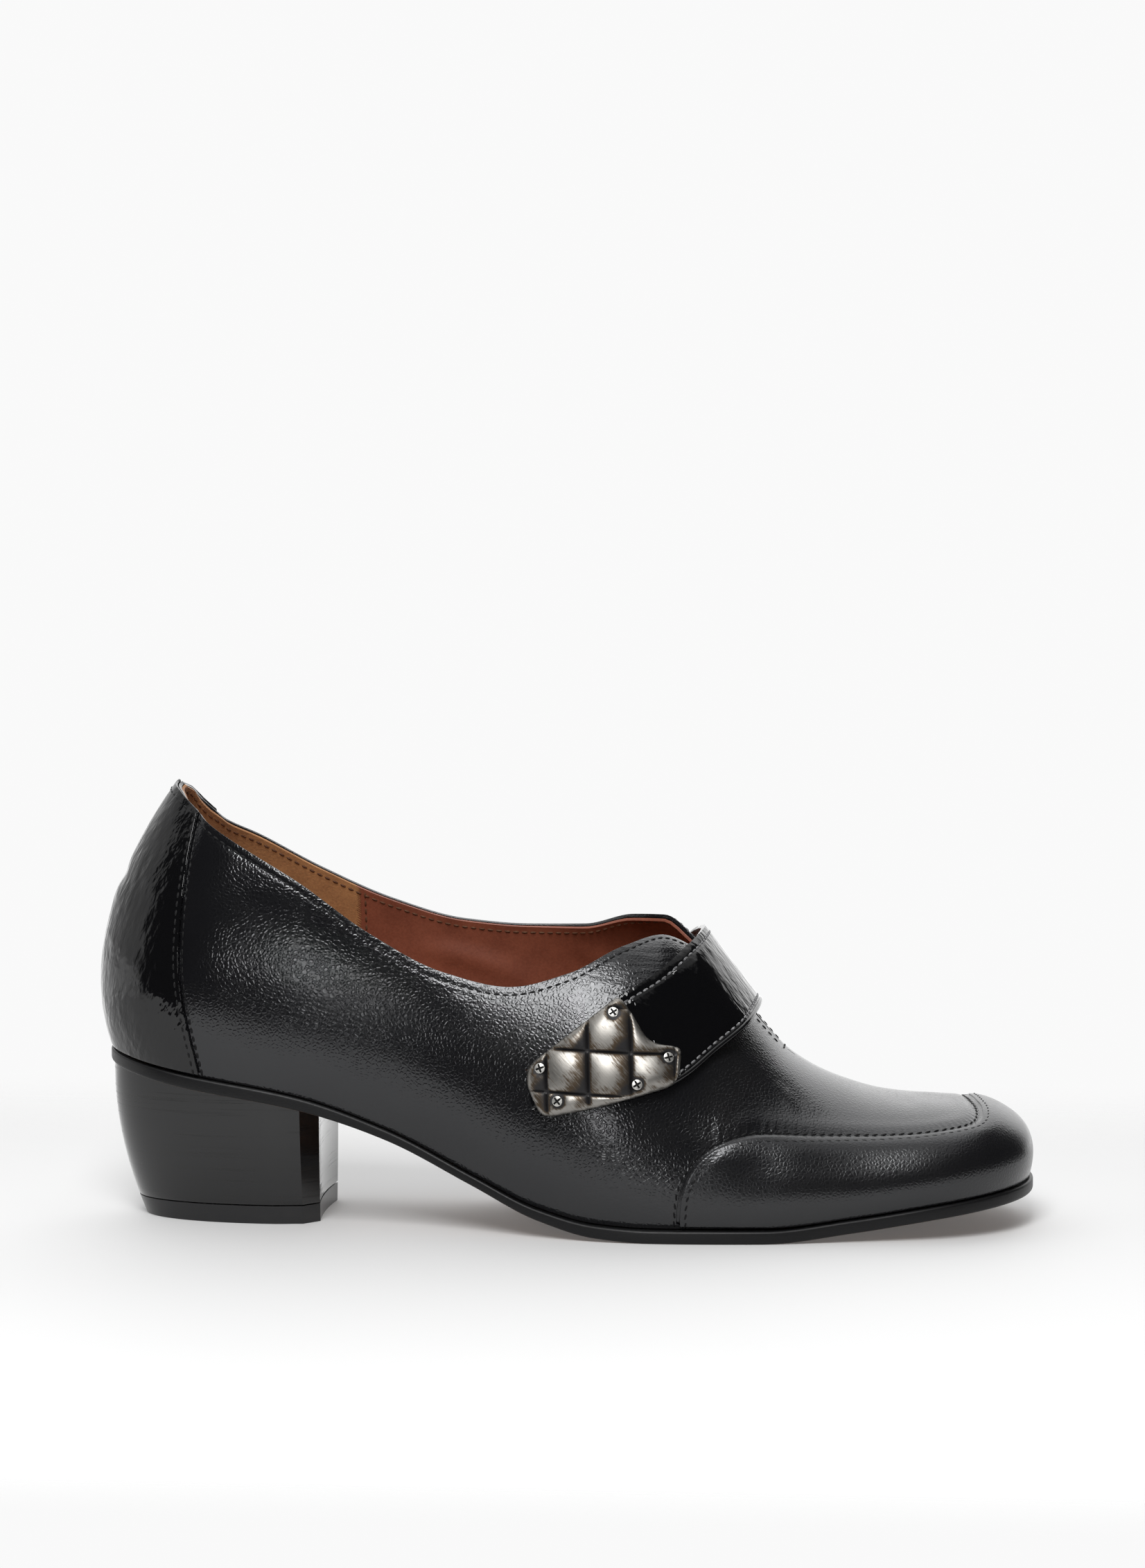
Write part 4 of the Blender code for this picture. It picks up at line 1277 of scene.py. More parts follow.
@dataclass
class Upper:
    """The calf upper and the two parts of its lining."""

    leather: float = 1.0
    leather_round: float = 0.24
    lining: float = 0.8
    lining_round: float = 0.3
    lining_drop: float = 0.2
    lining_lap: float = 1.5
    lining_free: Rise = Rise(2, 8)
    wall: float = 2.0
    suede_end: float = -59.0
    slit_end: float = 60.3
    closed: Rise = Rise(1.5, -3.0)
    seam_start: float = 43.0
    no_seam: float = -100.0
    rows: int = 66
    dense: float = 1.5
    column_fine: float = 0.95
    column_wide: float = 1.7
    column_lining: float = 2.2
    rolled: Hump = Hump(1.0, 0.9, 0.03)
    groove: float = 0.5
    groove_depth: float = 0.06
    puff: Hump = Hump(4.5, 2.6, 0.22)
    puff_start: float = -3.0
    crown: float = 13.0
    crown_calm: Rise = Rise(1.0, 4.0)
    stitch_drop: float = 2.3
    stitch_stop: float = 2.2
    stitch_sink: float = 0.08
    stitch_samples: int = 700
    slit_x: Rise = Rise(34, 44)
    slit_drop: float = 1.1
    tack_drop: float = 2.4
    tack_pitch: float = 0.7
    tack_out: Triple = (0.45, 0.0, 0.9)
    inner_rise: float = 0.4
    inner_sink: float = 0.02
    joint_in: float = 1.2
    joint_span: Tuple[float, float] = (0.1, 0.96)
    joint_samples: int = 60

    def marks(self) -> Array:
        """Distances round the shoe for the grid's columns, alike on both sides and closer on the vamp."""
        half = [0.0]
        while half[-1] < LAST.round / 2:
            x = float(LAST.spine(half[-1])[0])
            half.append(half[-1] + (self.column_fine if x > 0 else self.column_wide))
        half = np.array(half) * LAST.round / (2 * half[-1])
        return np.concatenate([half, LAST.round - half[-2::-1]])

    def laid(self, marks: Array, drop: float) -> Tuple[Array, Array]:
        """Shares up the rib and distances below the rim of a grid's points, by column and row."""
        t, fall = LAST.drops(marks)
        shares = (1 - np.linspace(0, 1, self.rows + 1)) ** self.dense
        drops = drop + shares[None, :] * (fall[:, -1:] - drop)
        return np.array([np.interp(d, row, t) for d, row in zip(drops, fall)]), drops

    def openness(self, s: Array) -> Array:
        """1 where the rim is free and 0 along the closed vamp."""
        return self.closed(LAST.spine(s)[0] - self.slit_end)

    def seam_height(self, marks: Array) -> Array:
        """Distance below the rim of the moc seam on each rib, or far above it where there is none."""
        seam = ToeWall().seam()
        inside = (marks > LAST.station(self.seam_start, -90)) & (marks < LAST.station(self.seam_start, 90))
        t, fall = LAST.drops(marks)
        height = np.array([np.interp(1 - h, 1 - t, row) for h, row in zip(seam(marks), fall)])
        return np.where(inside, height, self.no_seam)

    def level_crown(self, edit: bmesh.types.BMesh) -> None:
        """Lays the points round the toe's crown, where the ribs meet, on one smooth sheet.

        Args:
            edit: The bent grid of the leather.
        """
        edit.verts.ensure_lookup_table()
        spots = np.array([vert.co for vert in edit.verts]) / MM
        away = spots - (LAST.point(LAST.round / 2, 1.0) + SHIFT)
        far = np.linalg.norm(away, axis=1)
        x, y = away[:, 0], away[:, 1]
        terms = np.stack([np.ones_like(x), x, y, x * x, x * y, y * y], axis=1)
        ring = (far > self.crown / 2) & (far < self.crown)
        sheet = np.linalg.lstsq(terms[ring], spots[ring, 2], rcond=None)[0]
        share = Rise(self.crown, self.crown / 3)(far)
        level = spots[:, 2] + share * (terms @ sheet - spots[:, 2])
        for index in np.flatnonzero(far < self.crown):
            edit.verts[index].co.z = level[index] * MM

    def shell(self) -> bpy.types.Object:
        """The outer leather, with its turned edge and its creases."""
        marks = self.marks()
        t, drops = self.laid(marks, 0.0)
        seam = self.seam_height(marks)
        count = len(marks) - 1
        groove = Hump(self.stitch_drop, self.groove, -self.groove_depth)

        def place(along: Array, across: Array) -> Patch:
            """Points of the leather."""
            i, j = nearest(along, count), nearest(across, self.rows)
            s, height, drop = marks[i], t[i, j], drops[i, j]
            spots = LAST.point(s, height)
            open_rim = self.openness(s)
            above = seam[i] - drop
            relief = open_rim * (self.rolled(drop) + groove(drop))
            relief = relief + self.puff(above) * (above > self.puff_start) + fold_relief(CALF_FOLDS, spots)
            relief = relief * self.crown_calm(np.abs(spots[:, 0] - LAST.toe_pivot) + drop)
            carried = {**CalfMarks().at(spots, drop, above, open_rim), "run": s}
            return Patch(spots + relief[:, None] * LAST.normal(s, height), carried)

        edit = bend_grid(count, self.rows, place)
        self.level_crown(edit)
        made = make_piece("upper_leather", edit, FINISH.calf.make(), ["upper"])
        return thicken(made, self.leather, self.leather_round)

    def lining_part(self, name: str, finish: Lining, first: float, last: float) -> bpy.types.Object:
        """A part of the lining between two distances round the shoe."""
        marks = np.linspace(first, last, 1 + round((last - first) / self.column_lining))
        t, drops = self.laid(marks, self.lining_drop)
        count = len(marks) - 1
        lift = -(self.wall - self.lining)

        def place(along: Array, across: Array) -> Patch:
            """Points of the lining's hidden face."""
            i, j = nearest(along, count), nearest(across, self.rows)
            s, height = marks[i], t[i, j]
            spots = LAST.point(s, height)
            sunk = np.minimum(fold_relief(LINING_FOLDS, spots), 0.0) * self.lining_free(drops[i, j])
            return Patch(spots + (lift + sunk)[:, None] * LAST.normal(s, height))

        edit = bend_grid(count, self.rows, place)
        made = make_piece(name, edit, finish.make(), ["upper"])
        return thicken(made, self.lining, self.lining_round)

    def topline(self, higher: float = 0.0) -> Tuple[Array, Array]:
        """Places on the upper of the row along the topline and slit."""
        reach = LAST.station(self.slit_end - self.stitch_stop, -90)
        s = np.linspace(-reach, reach, self.stitch_samples)
        drop = self.stitch_drop + self.slit_drop * self.slit_x(LAST.spine(s)[0])
        return s, LAST.below_rim(s, drop - higher)

    def topline_stitches(self) -> bpy.types.Object:
        """The row along the topline and slit, and the tack across the slit's end."""
        edit = bmesh.new()
        s, t = self.topline()
        back = BackPiece()
        cover = np.where(np.abs(s) < back.half_width(1.0), back.lift, 0.0)
        FINISH.thread.sew(edit, Seam.on_upper(s, t, cover - self.stitch_sink))
        ends = np.array([LAST.station(self.slit_end, 90 * side.value) for side in Side])
        low = LAST.below_rim(ends, self.tack_drop)
        tack = LAST.point(ends[[0, 0, 1]], np.array((low[0], 1.0, low[1])))
        FINISH.thread.sew(edit, Seam(tack, np.tile(self.tack_out, (3, 1))).paced(self.tack_pitch))
        return make_piece("topline_stitches", edit, FINISH.thread.make())

    def lining_stitches(self) -> bpy.types.Object:
        """The lining's row along the topline and slit, and its two joints."""
        edit = bmesh.new()
        lines = [self.topline(self.inner_rise)]
        for side in Side:
            joint = LAST.station(self.suede_end + self.joint_in, 90 * side.value)
            up = np.linspace(*self.joint_span, self.joint_samples)
            lines.append((np.full(self.joint_samples, joint), up))
        for s, t in lines:
            inside = Seam.on_upper(s, t, -self.wall - self.inner_sink)
            FINISH.lining_thread.sew(edit, Seam(inside.spots, -inside.outs))
        return make_piece("lining_stitches", edit, FINISH.lining_thread.make())

    def build(self) -> None:
        """Every piece of the upper."""
        self.shell()
        outer = LAST.station(self.suede_end, -90)
        self.lining_part("lining_heel", FINISH.suede, -outer, outer)
        start = outer - self.lining_lap
        self.lining_part("lining_front", FINISH.smooth, start, LAST.round - start)
        self.topline_stitches()
        self.lining_stitches()


@dataclass
class ToeWall:
    """The panel round the toe and the raised seam that joins it to the vamp."""

    thickness: float = 0.8
    foot: float = 0.012
    back_foot: float = 34.4
    back_top: float = 43.2
    lean: float = 3.0
    edge_round: float = 0.25
    swell: Hump = Hump(0.84, 0.13, 0.3)
    dip: Rise = Rise(0.93, 1.0)
    dip_depth: float = 0.25
    ends: Rise = Rise(0.0, 0.02)
    ridge_half: float = 1.05
    ridge_height: float = 0.45
    ridge_sink: float = 0.1
    ridge_step: float = 0.9
    ridge_side: Rise = Rise(-0.6, 1.0)
    ridge_wall: float = 0.5
    ridge_pitch: float = 0.9
    ridge_rows: int = 10
    ridge_smooth: float = 80.0
    stitch_aside: float = 1.5
    stitch_sink: float = 0.1
    stitch_slant: float = 12.0
    columns: int = 260
    rows: int = 26
    line_up: int = 60
    line_round: int = 420
    line_soft: int = 25

    @property
    def lift(self) -> float:
        """Height of the panel's face over the upper."""
        return LAST.gap + self.thickness

    def seam(self) -> Curve:
        """Share up the rib of the seam, by the distance round the shoe."""
        return steady([LAST.station(p.x, p.heading) for p in MOC_SEAM], [p.share for p in MOC_SEAM])

    def reach(self, along: Array, across: Array) -> Tuple[Array, Array]:
        """Place on the upper of a spot of the panel."""
        lean = across**self.lean
        start = LAST.station(self.back_foot, -90) + (self.back_top - self.back_foot) * lean
        end = LAST.station(self.back_foot, 90) - (self.back_top - self.back_foot) * lean
        s = start + along * (end - start)
        return s, self.foot + (self.seam()(s) - self.foot) * across

    def panel(self) -> bpy.types.Object:
        """The panel, swelling softly below its seam."""

        def place(along: Array, across: Array) -> Patch:
            """Points of the panel's face."""
            s, t = self.reach(along, across)
            swell = self.swell(across) - self.dip_depth * self.dip(across)
            swell = swell * self.ends(np.minimum(along, 1 - along))
            return Patch(LAST.point(s, t) + (self.lift + swell)[:, None] * LAST.normal(s, t))

        edit = bend_grid(self.columns, self.rows, place)
        made = make_piece("toe_wall_leather", edit, FINISH.wall.make(), ["toe_wall"])
        return thicken(made, self.thickness, self.edge_round)

    def seam_line(self, lift: float) -> Seam:
        """The seam's line, up from the sole, round the toe and down again."""
        up = np.linspace(0, 1, self.line_up)
        top = np.linspace(0, 1, self.line_round)[1:-1]
        along = np.concatenate([np.zeros_like(up), top, np.ones_like(up)])
        across = np.concatenate([up, np.ones_like(top), up[::-1]])
        window = np.hanning(self.line_soft)
        padded = [np.pad(line, self.line_soft // 2, mode="edge") for line in self.reach(along, across)]
        s, t = (np.convolve(line, window / window.sum(), mode="valid") for line in padded)
        return Seam.on_upper(s, t, lift)

    def ridge(self) -> bpy.types.Object:
        """The raised strip along the seam."""

        def profile(w: Array) -> Array:
            """Height over the upper: the vamp on the left, the panel on the right."""
            base = self.ridge_step * self.ridge_side(w) - self.ridge_sink
            return base + self.ridge_height * arch(w)

        line = self.seam_line(0.0).paced(self.ridge_pitch)
        edit = ridge(line, self.ridge_half, self.ridge_rows, profile)
        made = make_piece("moc_ridge", edit, FINISH.wall.make(), smooth=self.ridge_smooth)
        return thicken(made, self.ridge_wall)

    def stitches(self) -> bpy.types.Object:
        """A row on either side of the seam."""
        edit = bmesh.new()
        line = self.seam_line(0.0)
        FINISH.thread.sew(edit, line.moved(self.stitch_aside, 0.0), self.stitch_slant)
        on_panel = line.moved(-self.stitch_aside, self.lift - self.stitch_sink)
        FINISH.thread.sew(edit, on_panel, -self.stitch_slant)
        return make_piece("moc_stitches", edit, FINISH.thread.make())

    def build(self) -> None:
        """Every piece of the toe."""
        self.panel()
        self.ridge()
        self.stitches()


@dataclass
class BackPiece:
    """The patent panel round the heel."""

    thickness: float = 0.8
    foot: float = 0.012
    columns: int = 150
    rows: int = 90
    edge_round: float = 0.25
    lean_at: Triple = (0, 0.45, 1)
    lean: Triple = (2, 11, 12)
    counter_edge: Hump = Hump(0.57, 0.05, 0.35)
    counter_dent: Hump = Hump(0.64, 0.035, -0.5)
    counter_round: Hump = Hump(0, 18)
    groove: float = 0.45
    groove_depth: float = 0.12
    stitch_in: float = 1.5
    stitch_out: float = 0.8
    stitch_sink: float = 0.14
    stitch_lift: float = 0.05
    stitch_span: Tuple[float, float] = (0.01, 0.985)
    stitch_samples: int = 120

    @property
    def lift(self) -> float:
        """Height of the panel's face over the upper."""
        return LAST.gap + self.thickness

    def half_width(self, across: Array) -> Array:
        """Half the panel's width round the heel, by the share of its height."""
        return LAST.heel_radius * np.radians(90 - steady(self.lean_at, self.lean)(across))

    def reach(self, along: Array, across: Array) -> Tuple[Array, Array]:
        """Place on the upper of a spot of the panel."""
        return (2 * along - 1) * self.half_width(across), self.foot + (1 - self.foot) * across

    def panel(self) -> bpy.types.Object:
        """The panel, dented over the counter's edge, with turned front edges."""
        groove = Hump(self.stitch_in, self.groove, -self.groove_depth)

        def place(along: Array, across: Array) -> Patch:
            """Points of the panel's face."""
            s, t = self.reach(along, across)
            turned = groove(self.half_width(across) - np.abs(s))
            dent = self.counter_edge(across) + self.counter_dent(across)
            height = self.lift + turned + dent * self.counter_round(s)
            return Patch(LAST.point(s, t) + height[:, None] * LAST.normal(s, t))

        edit = bend_grid(self.columns, self.rows, place)
        finish = FINISH.patent_back.make()
        made = make_piece("back_piece_patent", edit, finish, ["back_piece"])
        return thicken(made, self.thickness, self.edge_round)

    def stitches(self) -> bpy.types.Object:
        """Two rows along each front edge, one on the panel and one beside it."""
        edit = bmesh.new()
        across = np.linspace(*self.stitch_span, self.stitch_samples)
        half = self.half_width(across)
        t = self.foot + (1 - self.foot) * across
        rows = (
            (half - self.stitch_in, self.lift - self.stitch_sink),
            (half + self.stitch_out, self.stitch_lift),
        )
        for side in Side:
            for aside, lift in rows:
                FINISH.thread.sew(edit, Seam.on_upper(-side.value * aside, t, lift))
        return make_piece("back_stitches", edit, FINISH.thread.make())

    def build(self) -> None:
        """Every piece of the back."""
        self.panel()
        self.stitches()


@dataclass
class InstepStrap:
    """The patent strap over the instep."""

    thickness: float = 1.8
    lift: float = 0.8
    columns: int = 150
    width: float = 24.0
    paces: Tuple[float, ...] = (0, 0.7, 1.1, 1.5, 1.7, 1.9, 2.1, 2.3, 2.8, 4, 5.5, 7, 8.5, 10, 12)
    lanes: int = 5
    probe: float = 0.004
    clearance: float = 0.3
    edge_round: float = 0.5
    end: float = 0.995
    plate_end: float = 0.2
    tuck: float = 0.2
    bead: float = 0.5
    bead_half: float = 0.65
    bead_sink: float = 0.1
    bead_wall: float = 0.3
    bead_pitch: float = 0.8
    bead_rows: int = 8
    bead_smooth: float = 80.0
    bead_samples: int = 300
    groove: float = 0.4
    groove_depth: float = 0.18
    stitch_in: float = 1.9
    stitch_start: float = 0.225
    stitch_sink: float = 0.16
    stitch_samples: int = 400
    net: List[List[Curve]] = field(init=False)

    def __post_init__(self) -> None:
        """Lays the strap's curves on the upper's wall."""
        shares = np.linspace(0, 1, self.lanes)
        lines = []
        for row in STRAP:
            x = row.back_x + shares * (row.front_x - row.back_x)
            up = row.back_up + shares * (row.front_up - row.back_up)
            spots = np.stack((x, np.zeros(self.lanes), up), axis=1)
            if row.side:
                spots, outs = LAST.side_spot(row.side, x, up)
                spots = spots + self.lift * outs + np.array((0.0, row.side.value * row.stand_off, 0.0))
            lines.append(spots)
        net = np.array(lines)
        knots = np.linspace(0, 1, len(STRAP))
        self.net = [[steady(knots, net[:, j, axis]) for axis in range(3)] for j in range(self.lanes)]

    def under(self, along: Array, across: Array) -> Array:
        """Points of the strap's inner face, from its back edge to its front edge."""
        lines = np.array([[curve(along) for curve in axes] for axes in self.net])
        shares = np.linspace(0, 1, self.lanes)
        weights = np.ones((self.lanes, len(across)))
        for i, j in itertools.permutations(range(self.lanes), 2):
            weights[i] *= (across - shares[j]) / (shares[i] - shares[j])
        return np.einsum("in,ian->na", weights, lines)

    def face(self, along: Array, across: Array) -> Tuple[Array, Array]:
        """Points of the strap's outer face before its relief, and the outward directions."""

        def change(ahead: float, aside: float) -> Array:
            """How the inner face's points move over a small step either way."""
            after = self.under(np.clip(along + ahead, 0, 1), np.clip(across + aside, 0, 1))
            return after - self.under(np.clip(along - ahead, 0, 1), np.clip(across - aside, 0, 1))

        outs = unit(np.cross(change(0.0, self.probe), change(self.probe, 0.0)))
        return self.under(along, across) + self.thickness * outs, outs

    def band(self) -> bpy.types.Object:
        """The strap with its turned, stitched edges."""
        half = np.array(self.paces) / self.width
        shares = np.concatenate([half, 1 - half[-2::-1]])
        rows = len(shares) - 1
        tucked = Rise(self.plate_end, self.plate_end / 2)
        groove = Hump(self.stitch_in, self.groove, -self.groove_depth)

        def place(along: Array, across: Array) -> Patch:
            """Points of the strap's face."""
            spread = shares[nearest(across, rows)]
            spots, outs = self.face(along, 0.5 + (0.5 - spread) * (1 - self.tuck * tucked(along)))
            relief = groove(self.width * np.minimum(spread, 1 - spread))
            return Patch(spots + relief[:, None] * outs)

        edit = bend_grid(self.columns, rows, place)
        finish = FINISH.patent_strap.make()
        made = make_piece("instep_strap_patent", edit, finish, ["instep_strap"])
        return thicken(made, self.thickness - self.clearance, self.edge_round, FINISH.smooth.make())

    def lane(self, start: float, samples: int, share: float, sink: float = 0.0) -> Seam:
        """A line along the strap's face, at a share of its width, sunk into it."""
        along = np.linspace(start, self.end, samples)
        spots, outs = self.face(along, np.full(samples, share))
        return Seam(spots - sink * outs, outs)

    def turned_edge(self) -> bpy.types.Object:
        """The rolled bead along the strap's lower edge."""

        def profile(w: Array) -> Array:
            """Height over the strap's face."""
            return self.bead * arch(w) - self.bead_sink

        line = self.lane(self.plate_end, self.bead_samples, 1 - self.bead_half / self.width)
        edit = ridge(line.paced(self.bead_pitch), self.bead_half, self.bead_rows, profile)
        finish = FINISH.patent_edge.make()
        made = make_piece("strap_turned_edge", edit, finish, smooth=self.bead_smooth)
        return thicken(made, self.bead_wall)

    def stitches(self) -> bpy.types.Object:
        """A row along each edge."""
        edit = bmesh.new()
        inset = self.stitch_in / self.width
        for share in (inset, 1 - inset):
            line = self.lane(self.stitch_start, self.stitch_samples, share, self.stitch_sink)
            FINISH.strap_thread.sew(edit, line)
        return make_piece("strap_stitches", edit, FINISH.strap_thread.make())

    def build(self) -> None:
        """Every piece of the strap."""
        self.band()
        self.turned_edge()
        self.stitches()


@dataclass
class Ornament:
    """The quilted metal plate on the strap's end, and its screws."""

    lift: float = 2.9
    thickness: float = 1.5
    puff: float = 1.25
    pillow: float = 0.55
    puff_edge: Rise = Rise(-0.5, 3.0)
    quilt: float = 10.8
    quilt_x: float = 2.0
    quilt_up: float = 28.6
    slant: float = 0.06
    lines: int = 4
    cuts: Tuple[float, ...] = (0.35, 0.7, 1.2, 2.0, 2.9, 3.8, 4.6)
    last_cut: float = 5.4
    rim_steps: Triple = (0.12, 0.22, 0.36)
    corner_points: int = 9
    groove: Hump = Hump(0, 0.34, 0.4)
    edge_round: float = 0.9
    seat: Rise = Rise(2.3, 1.6)
    seat_depth: float = 0.35
    smooth: float = 60.0
    dull_upright: Hump = Hump(0, 0.75)
    dull_level: Hump = Hump(0, 0.45)
    # Painted shade: each pillow darkened towards its front and its lower side, standing in for its unlit side
    shade_front: Rise = Rise(0.45, 0.95)
    shade_low: Rise = Rise(0.45, 0.05)
    shade: Tuple[float, float] = (0.62, 0.3)
    dull_seat: Rise = Rise(2.6, 1.7)
    dull_seat_share: float = 0.9
    bright_rim: Rise = Rise(0.2, 1.4)
    valley: float = 0.25
    valley_edge: Rise = Rise(0.5, 2)
    dull_back: float = 0.3
    screw_radius: float = 1.5
    screw_height: float = 0.8
    screw_dome: float = 0.25
    screw_edge: Rise = Rise(0.9, 1.0)
    screw_edge_drop: float = 0.45
    screw_sink: float = 0.05
    screw_wall: float = 0.3
    screw_grid: int = 30
    screw_weld: float = 0.001
    screw_smooth: float = 50.0
    cross: Rise = Rise(0.18, 0.1)
    cross_end: Rise = Rise(0.82, 0.7)
    cross_depth: float = 0.4

    def outline(self) -> Array:
        """The outline in side view, with rounded corners."""
        points: List[Array] = []
        for index, corner in enumerate(PLATE_CORNERS):
            here = np.array(corner[:2])
            after = np.array(PLATE_CORNERS[(index + 1) % len(PLATE_CORNERS)][:2]) - here
            before = np.array(PLATE_CORNERS[index - 1][:2]) - here
            start = here + corner.cut * unit(before)
            end = here + corner.cut * unit(after)
            for t in np.linspace(0, 1, self.corner_points) if corner.cut else (0.5,):
                points.append(start * (1 - t) ** 2 + 2 * here * t * (1 - t) + end * t**2)
        return np.array(points)

    def edge_distance(self, flat: Array) -> Array:
        """Distance of flat spots from the outline."""
        ring = self.outline()
        least = np.full(len(flat), np.inf)
        for a, b in zip(ring, np.roll(ring, -1, axis=0)):
            share = np.clip((flat - a) @ (b - a) / float((b - a) @ (b - a)), 0, 1)
            least = np.minimum(least, np.linalg.norm(flat - a - share[:, None] * (b - a), axis=1))
        return least

    def quilting(self, flat: Array) -> Tuple[Array, Array, Array]:
        """Height of the pillows as a share, distance from the nearest groove, and how dark it is there:
        patina along the grooves and painted shade on each pillow's front and lower side.
        """
        first = (flat[:, 0] + self.slant * flat[:, 1] - self.quilt_x) / self.quilt
        second = (flat[:, 1] + self.slant * flat[:, 0] - self.quilt_up) / self.quilt
        near = [self.quilt * np.abs(place - np.rint(place)) for place in (first, second)]
        pillow = np.abs(np.sin(math.pi * first) * np.sin(math.pi * second)) ** self.pillow
        dull = np.maximum(self.dull_upright(near[0]), self.dull_level(near[1]))
        # Painted shade, darker towards the front and lower side of each pillow
        shade = self.shade[0] * self.shade_front(first % 1) + self.shade[1] * self.shade_low(second % 1)
        return pillow, np.minimum(*near), np.maximum(dull, shade)

    def relief(self, flat: Array) -> Tuple[Array, Array]:
        """Height of the plate's face over its lower face, and how dark it is: patina in its hollows and
        painted shade on the pillows' front and lower sides.
        """
        pillow, groove, dull = self.quilting(flat)
        edge = self.edge_distance(flat)
        seats = np.array([(screw.x, screw.up) for screw in PLATE_SCREWS])
        seat = np.linalg.norm(flat[:, None, :] - seats[None], axis=-1).min(axis=1)
        height = self.thickness + self.puff * pillow * self.puff_edge(edge)
        height = height - self.groove(groove) - self.seat_depth * self.seat(seat)
        corner = np.clip(self.edge_round - edge, 0, None)
        height = height - (self.edge_round - np.sqrt(np.maximum(self.edge_round**2 - corner**2, 0)))
        hollow = np.maximum(dull, self.dull_seat_share * self.dull_seat(seat)) * self.bright_rim(edge)
        return height, np.clip(hollow + self.valley * (1 - pillow) ** 2 * self.valley_edge(edge), 0, 1)

    def plate(self) -> bpy.types.Object:
        """The plate, bent to the wall."""
        edit = bmesh.new()
        face = edit.faces.new([edit.verts.new((*spot, 0.0)) for spot in self.outline()])
        for depth in self.rim_steps:
            bmesh.ops.inset_region(edit, faces=[face], thickness=depth, use_even_offset=True)
        shifts = (*(-shift for shift in reversed(self.cuts)), 0.0, *self.cuts, self.last_cut)
        for line in range(self.lines):
            for shift in shifts:
                level = line * self.quilt + shift
                cuts = (
                    ((self.quilt_x + level, 0, 0), (1, self.slant, 0)),
                    ((0, self.quilt_up + level, 0), (self.slant, 1, 0)),
                )
                for spot, way in cuts:
                    geometry = edit.verts[:] + edit.edges[:] + edit.faces[:]
                    bmesh.ops.bisect_plane(edit, geom=geometry, dist=1e-4, plane_co=spot, plane_no=way)
        pulled = bmesh.ops.extrude_face_region(edit, geom=edit.faces[:], use_keep_orig=True)["geom"]
        raised = {item for item in pulled if isinstance(item, bmesh.types.BMVert)}
        verts = edit.verts[:]
        flat = np.array([vert.co[:2] for vert in verts])
        top = np.array([vert in raised for vert in verts])
        height, hollow = self.relief(flat)
        spots, outs = LAST.side_spot(Side.OUTER, flat[:, 0], flat[:, 1])
        spots = (spots + (self.lift + np.where(top, height, 0.0))[:, None] * outs + SHIFT) * MM
        # The hollow layer carries patina and painted shade
        layer = edit.verts.layers.float.new("hollow")
        darks = np.where(top, hollow, self.dull_back)
        for vert, spot, dark in zip(edit.verts, spots.tolist(), darks.tolist()):
            vert.co = spot
            vert[layer] = dark
        bmesh.ops.recalc_face_normals(edit, faces=edit.faces)
        finish = FINISH.silver.make()
        nodes = ["ornament_plate"]
        return make_piece("ornament_plate_quilted", edit, finish, nodes, self.smooth)

    def screw(self, index: int, screw: Screw) -> bpy.types.Object:
        """A domed screw head with a cross slot."""
        flat = np.array([[screw.x, screw.up]])
        (spot,), (out,) = LAST.side_spot(Side.OUTER, flat[:, 0], flat[:, 1])
        foot = self.lift + float(self.relief(flat)[0][0]) - self.screw_sink
        across = unit(np.cross((0.0, 0.0, 1.0), out))
        upward = np.cross(out, across)
        cos, sin = math.cos(screw.turn), math.sin(screw.turn)

        def place(u: Array, v: Array) -> Patch:
            """Points of the head, on a square made round."""
            a, b = 2 * u - 1, 2 * v - 1
            p, q = a * np.sqrt(1 - b**2 / 2), b * np.sqrt(1 - a**2 / 2)
            r = np.hypot(p, q)
            edge = self.screw_edge(r)
            dome = self.screw_height * (1 - self.screw_dome - self.screw_dome * r**2)
            slot = np.maximum(self.cross(np.abs(p)), self.cross(np.abs(q))) * self.cross_end(r)
            height = foot + dome - self.screw_edge_drop * edge - self.cross_depth * slot
            x, y = cos * p - sin * q, sin * p + cos * q
            head = self.screw_radius * (x[:, None] * across + y[:, None] * upward)
            return Patch(spot + head + height[:, None] * out, {"hollow": np.maximum(slot, edge)})

        edit = bend_grid(self.screw_grid, self.screw_grid, place, self.screw_weld)
        name, nodes = f"ornament_screw_head_{index}", [f"ornament_screw_{index}"]
        made = make_piece(name, edit, FINISH.screw.make(), nodes, self.screw_smooth)
        return thicken(made, self.screw_wall)

    def build(self) -> None:
        """The plate and its screws."""
        self.plate()
        for index, screw in enumerate(PLATE_SCREWS, 1):
            self.screw(index, screw)


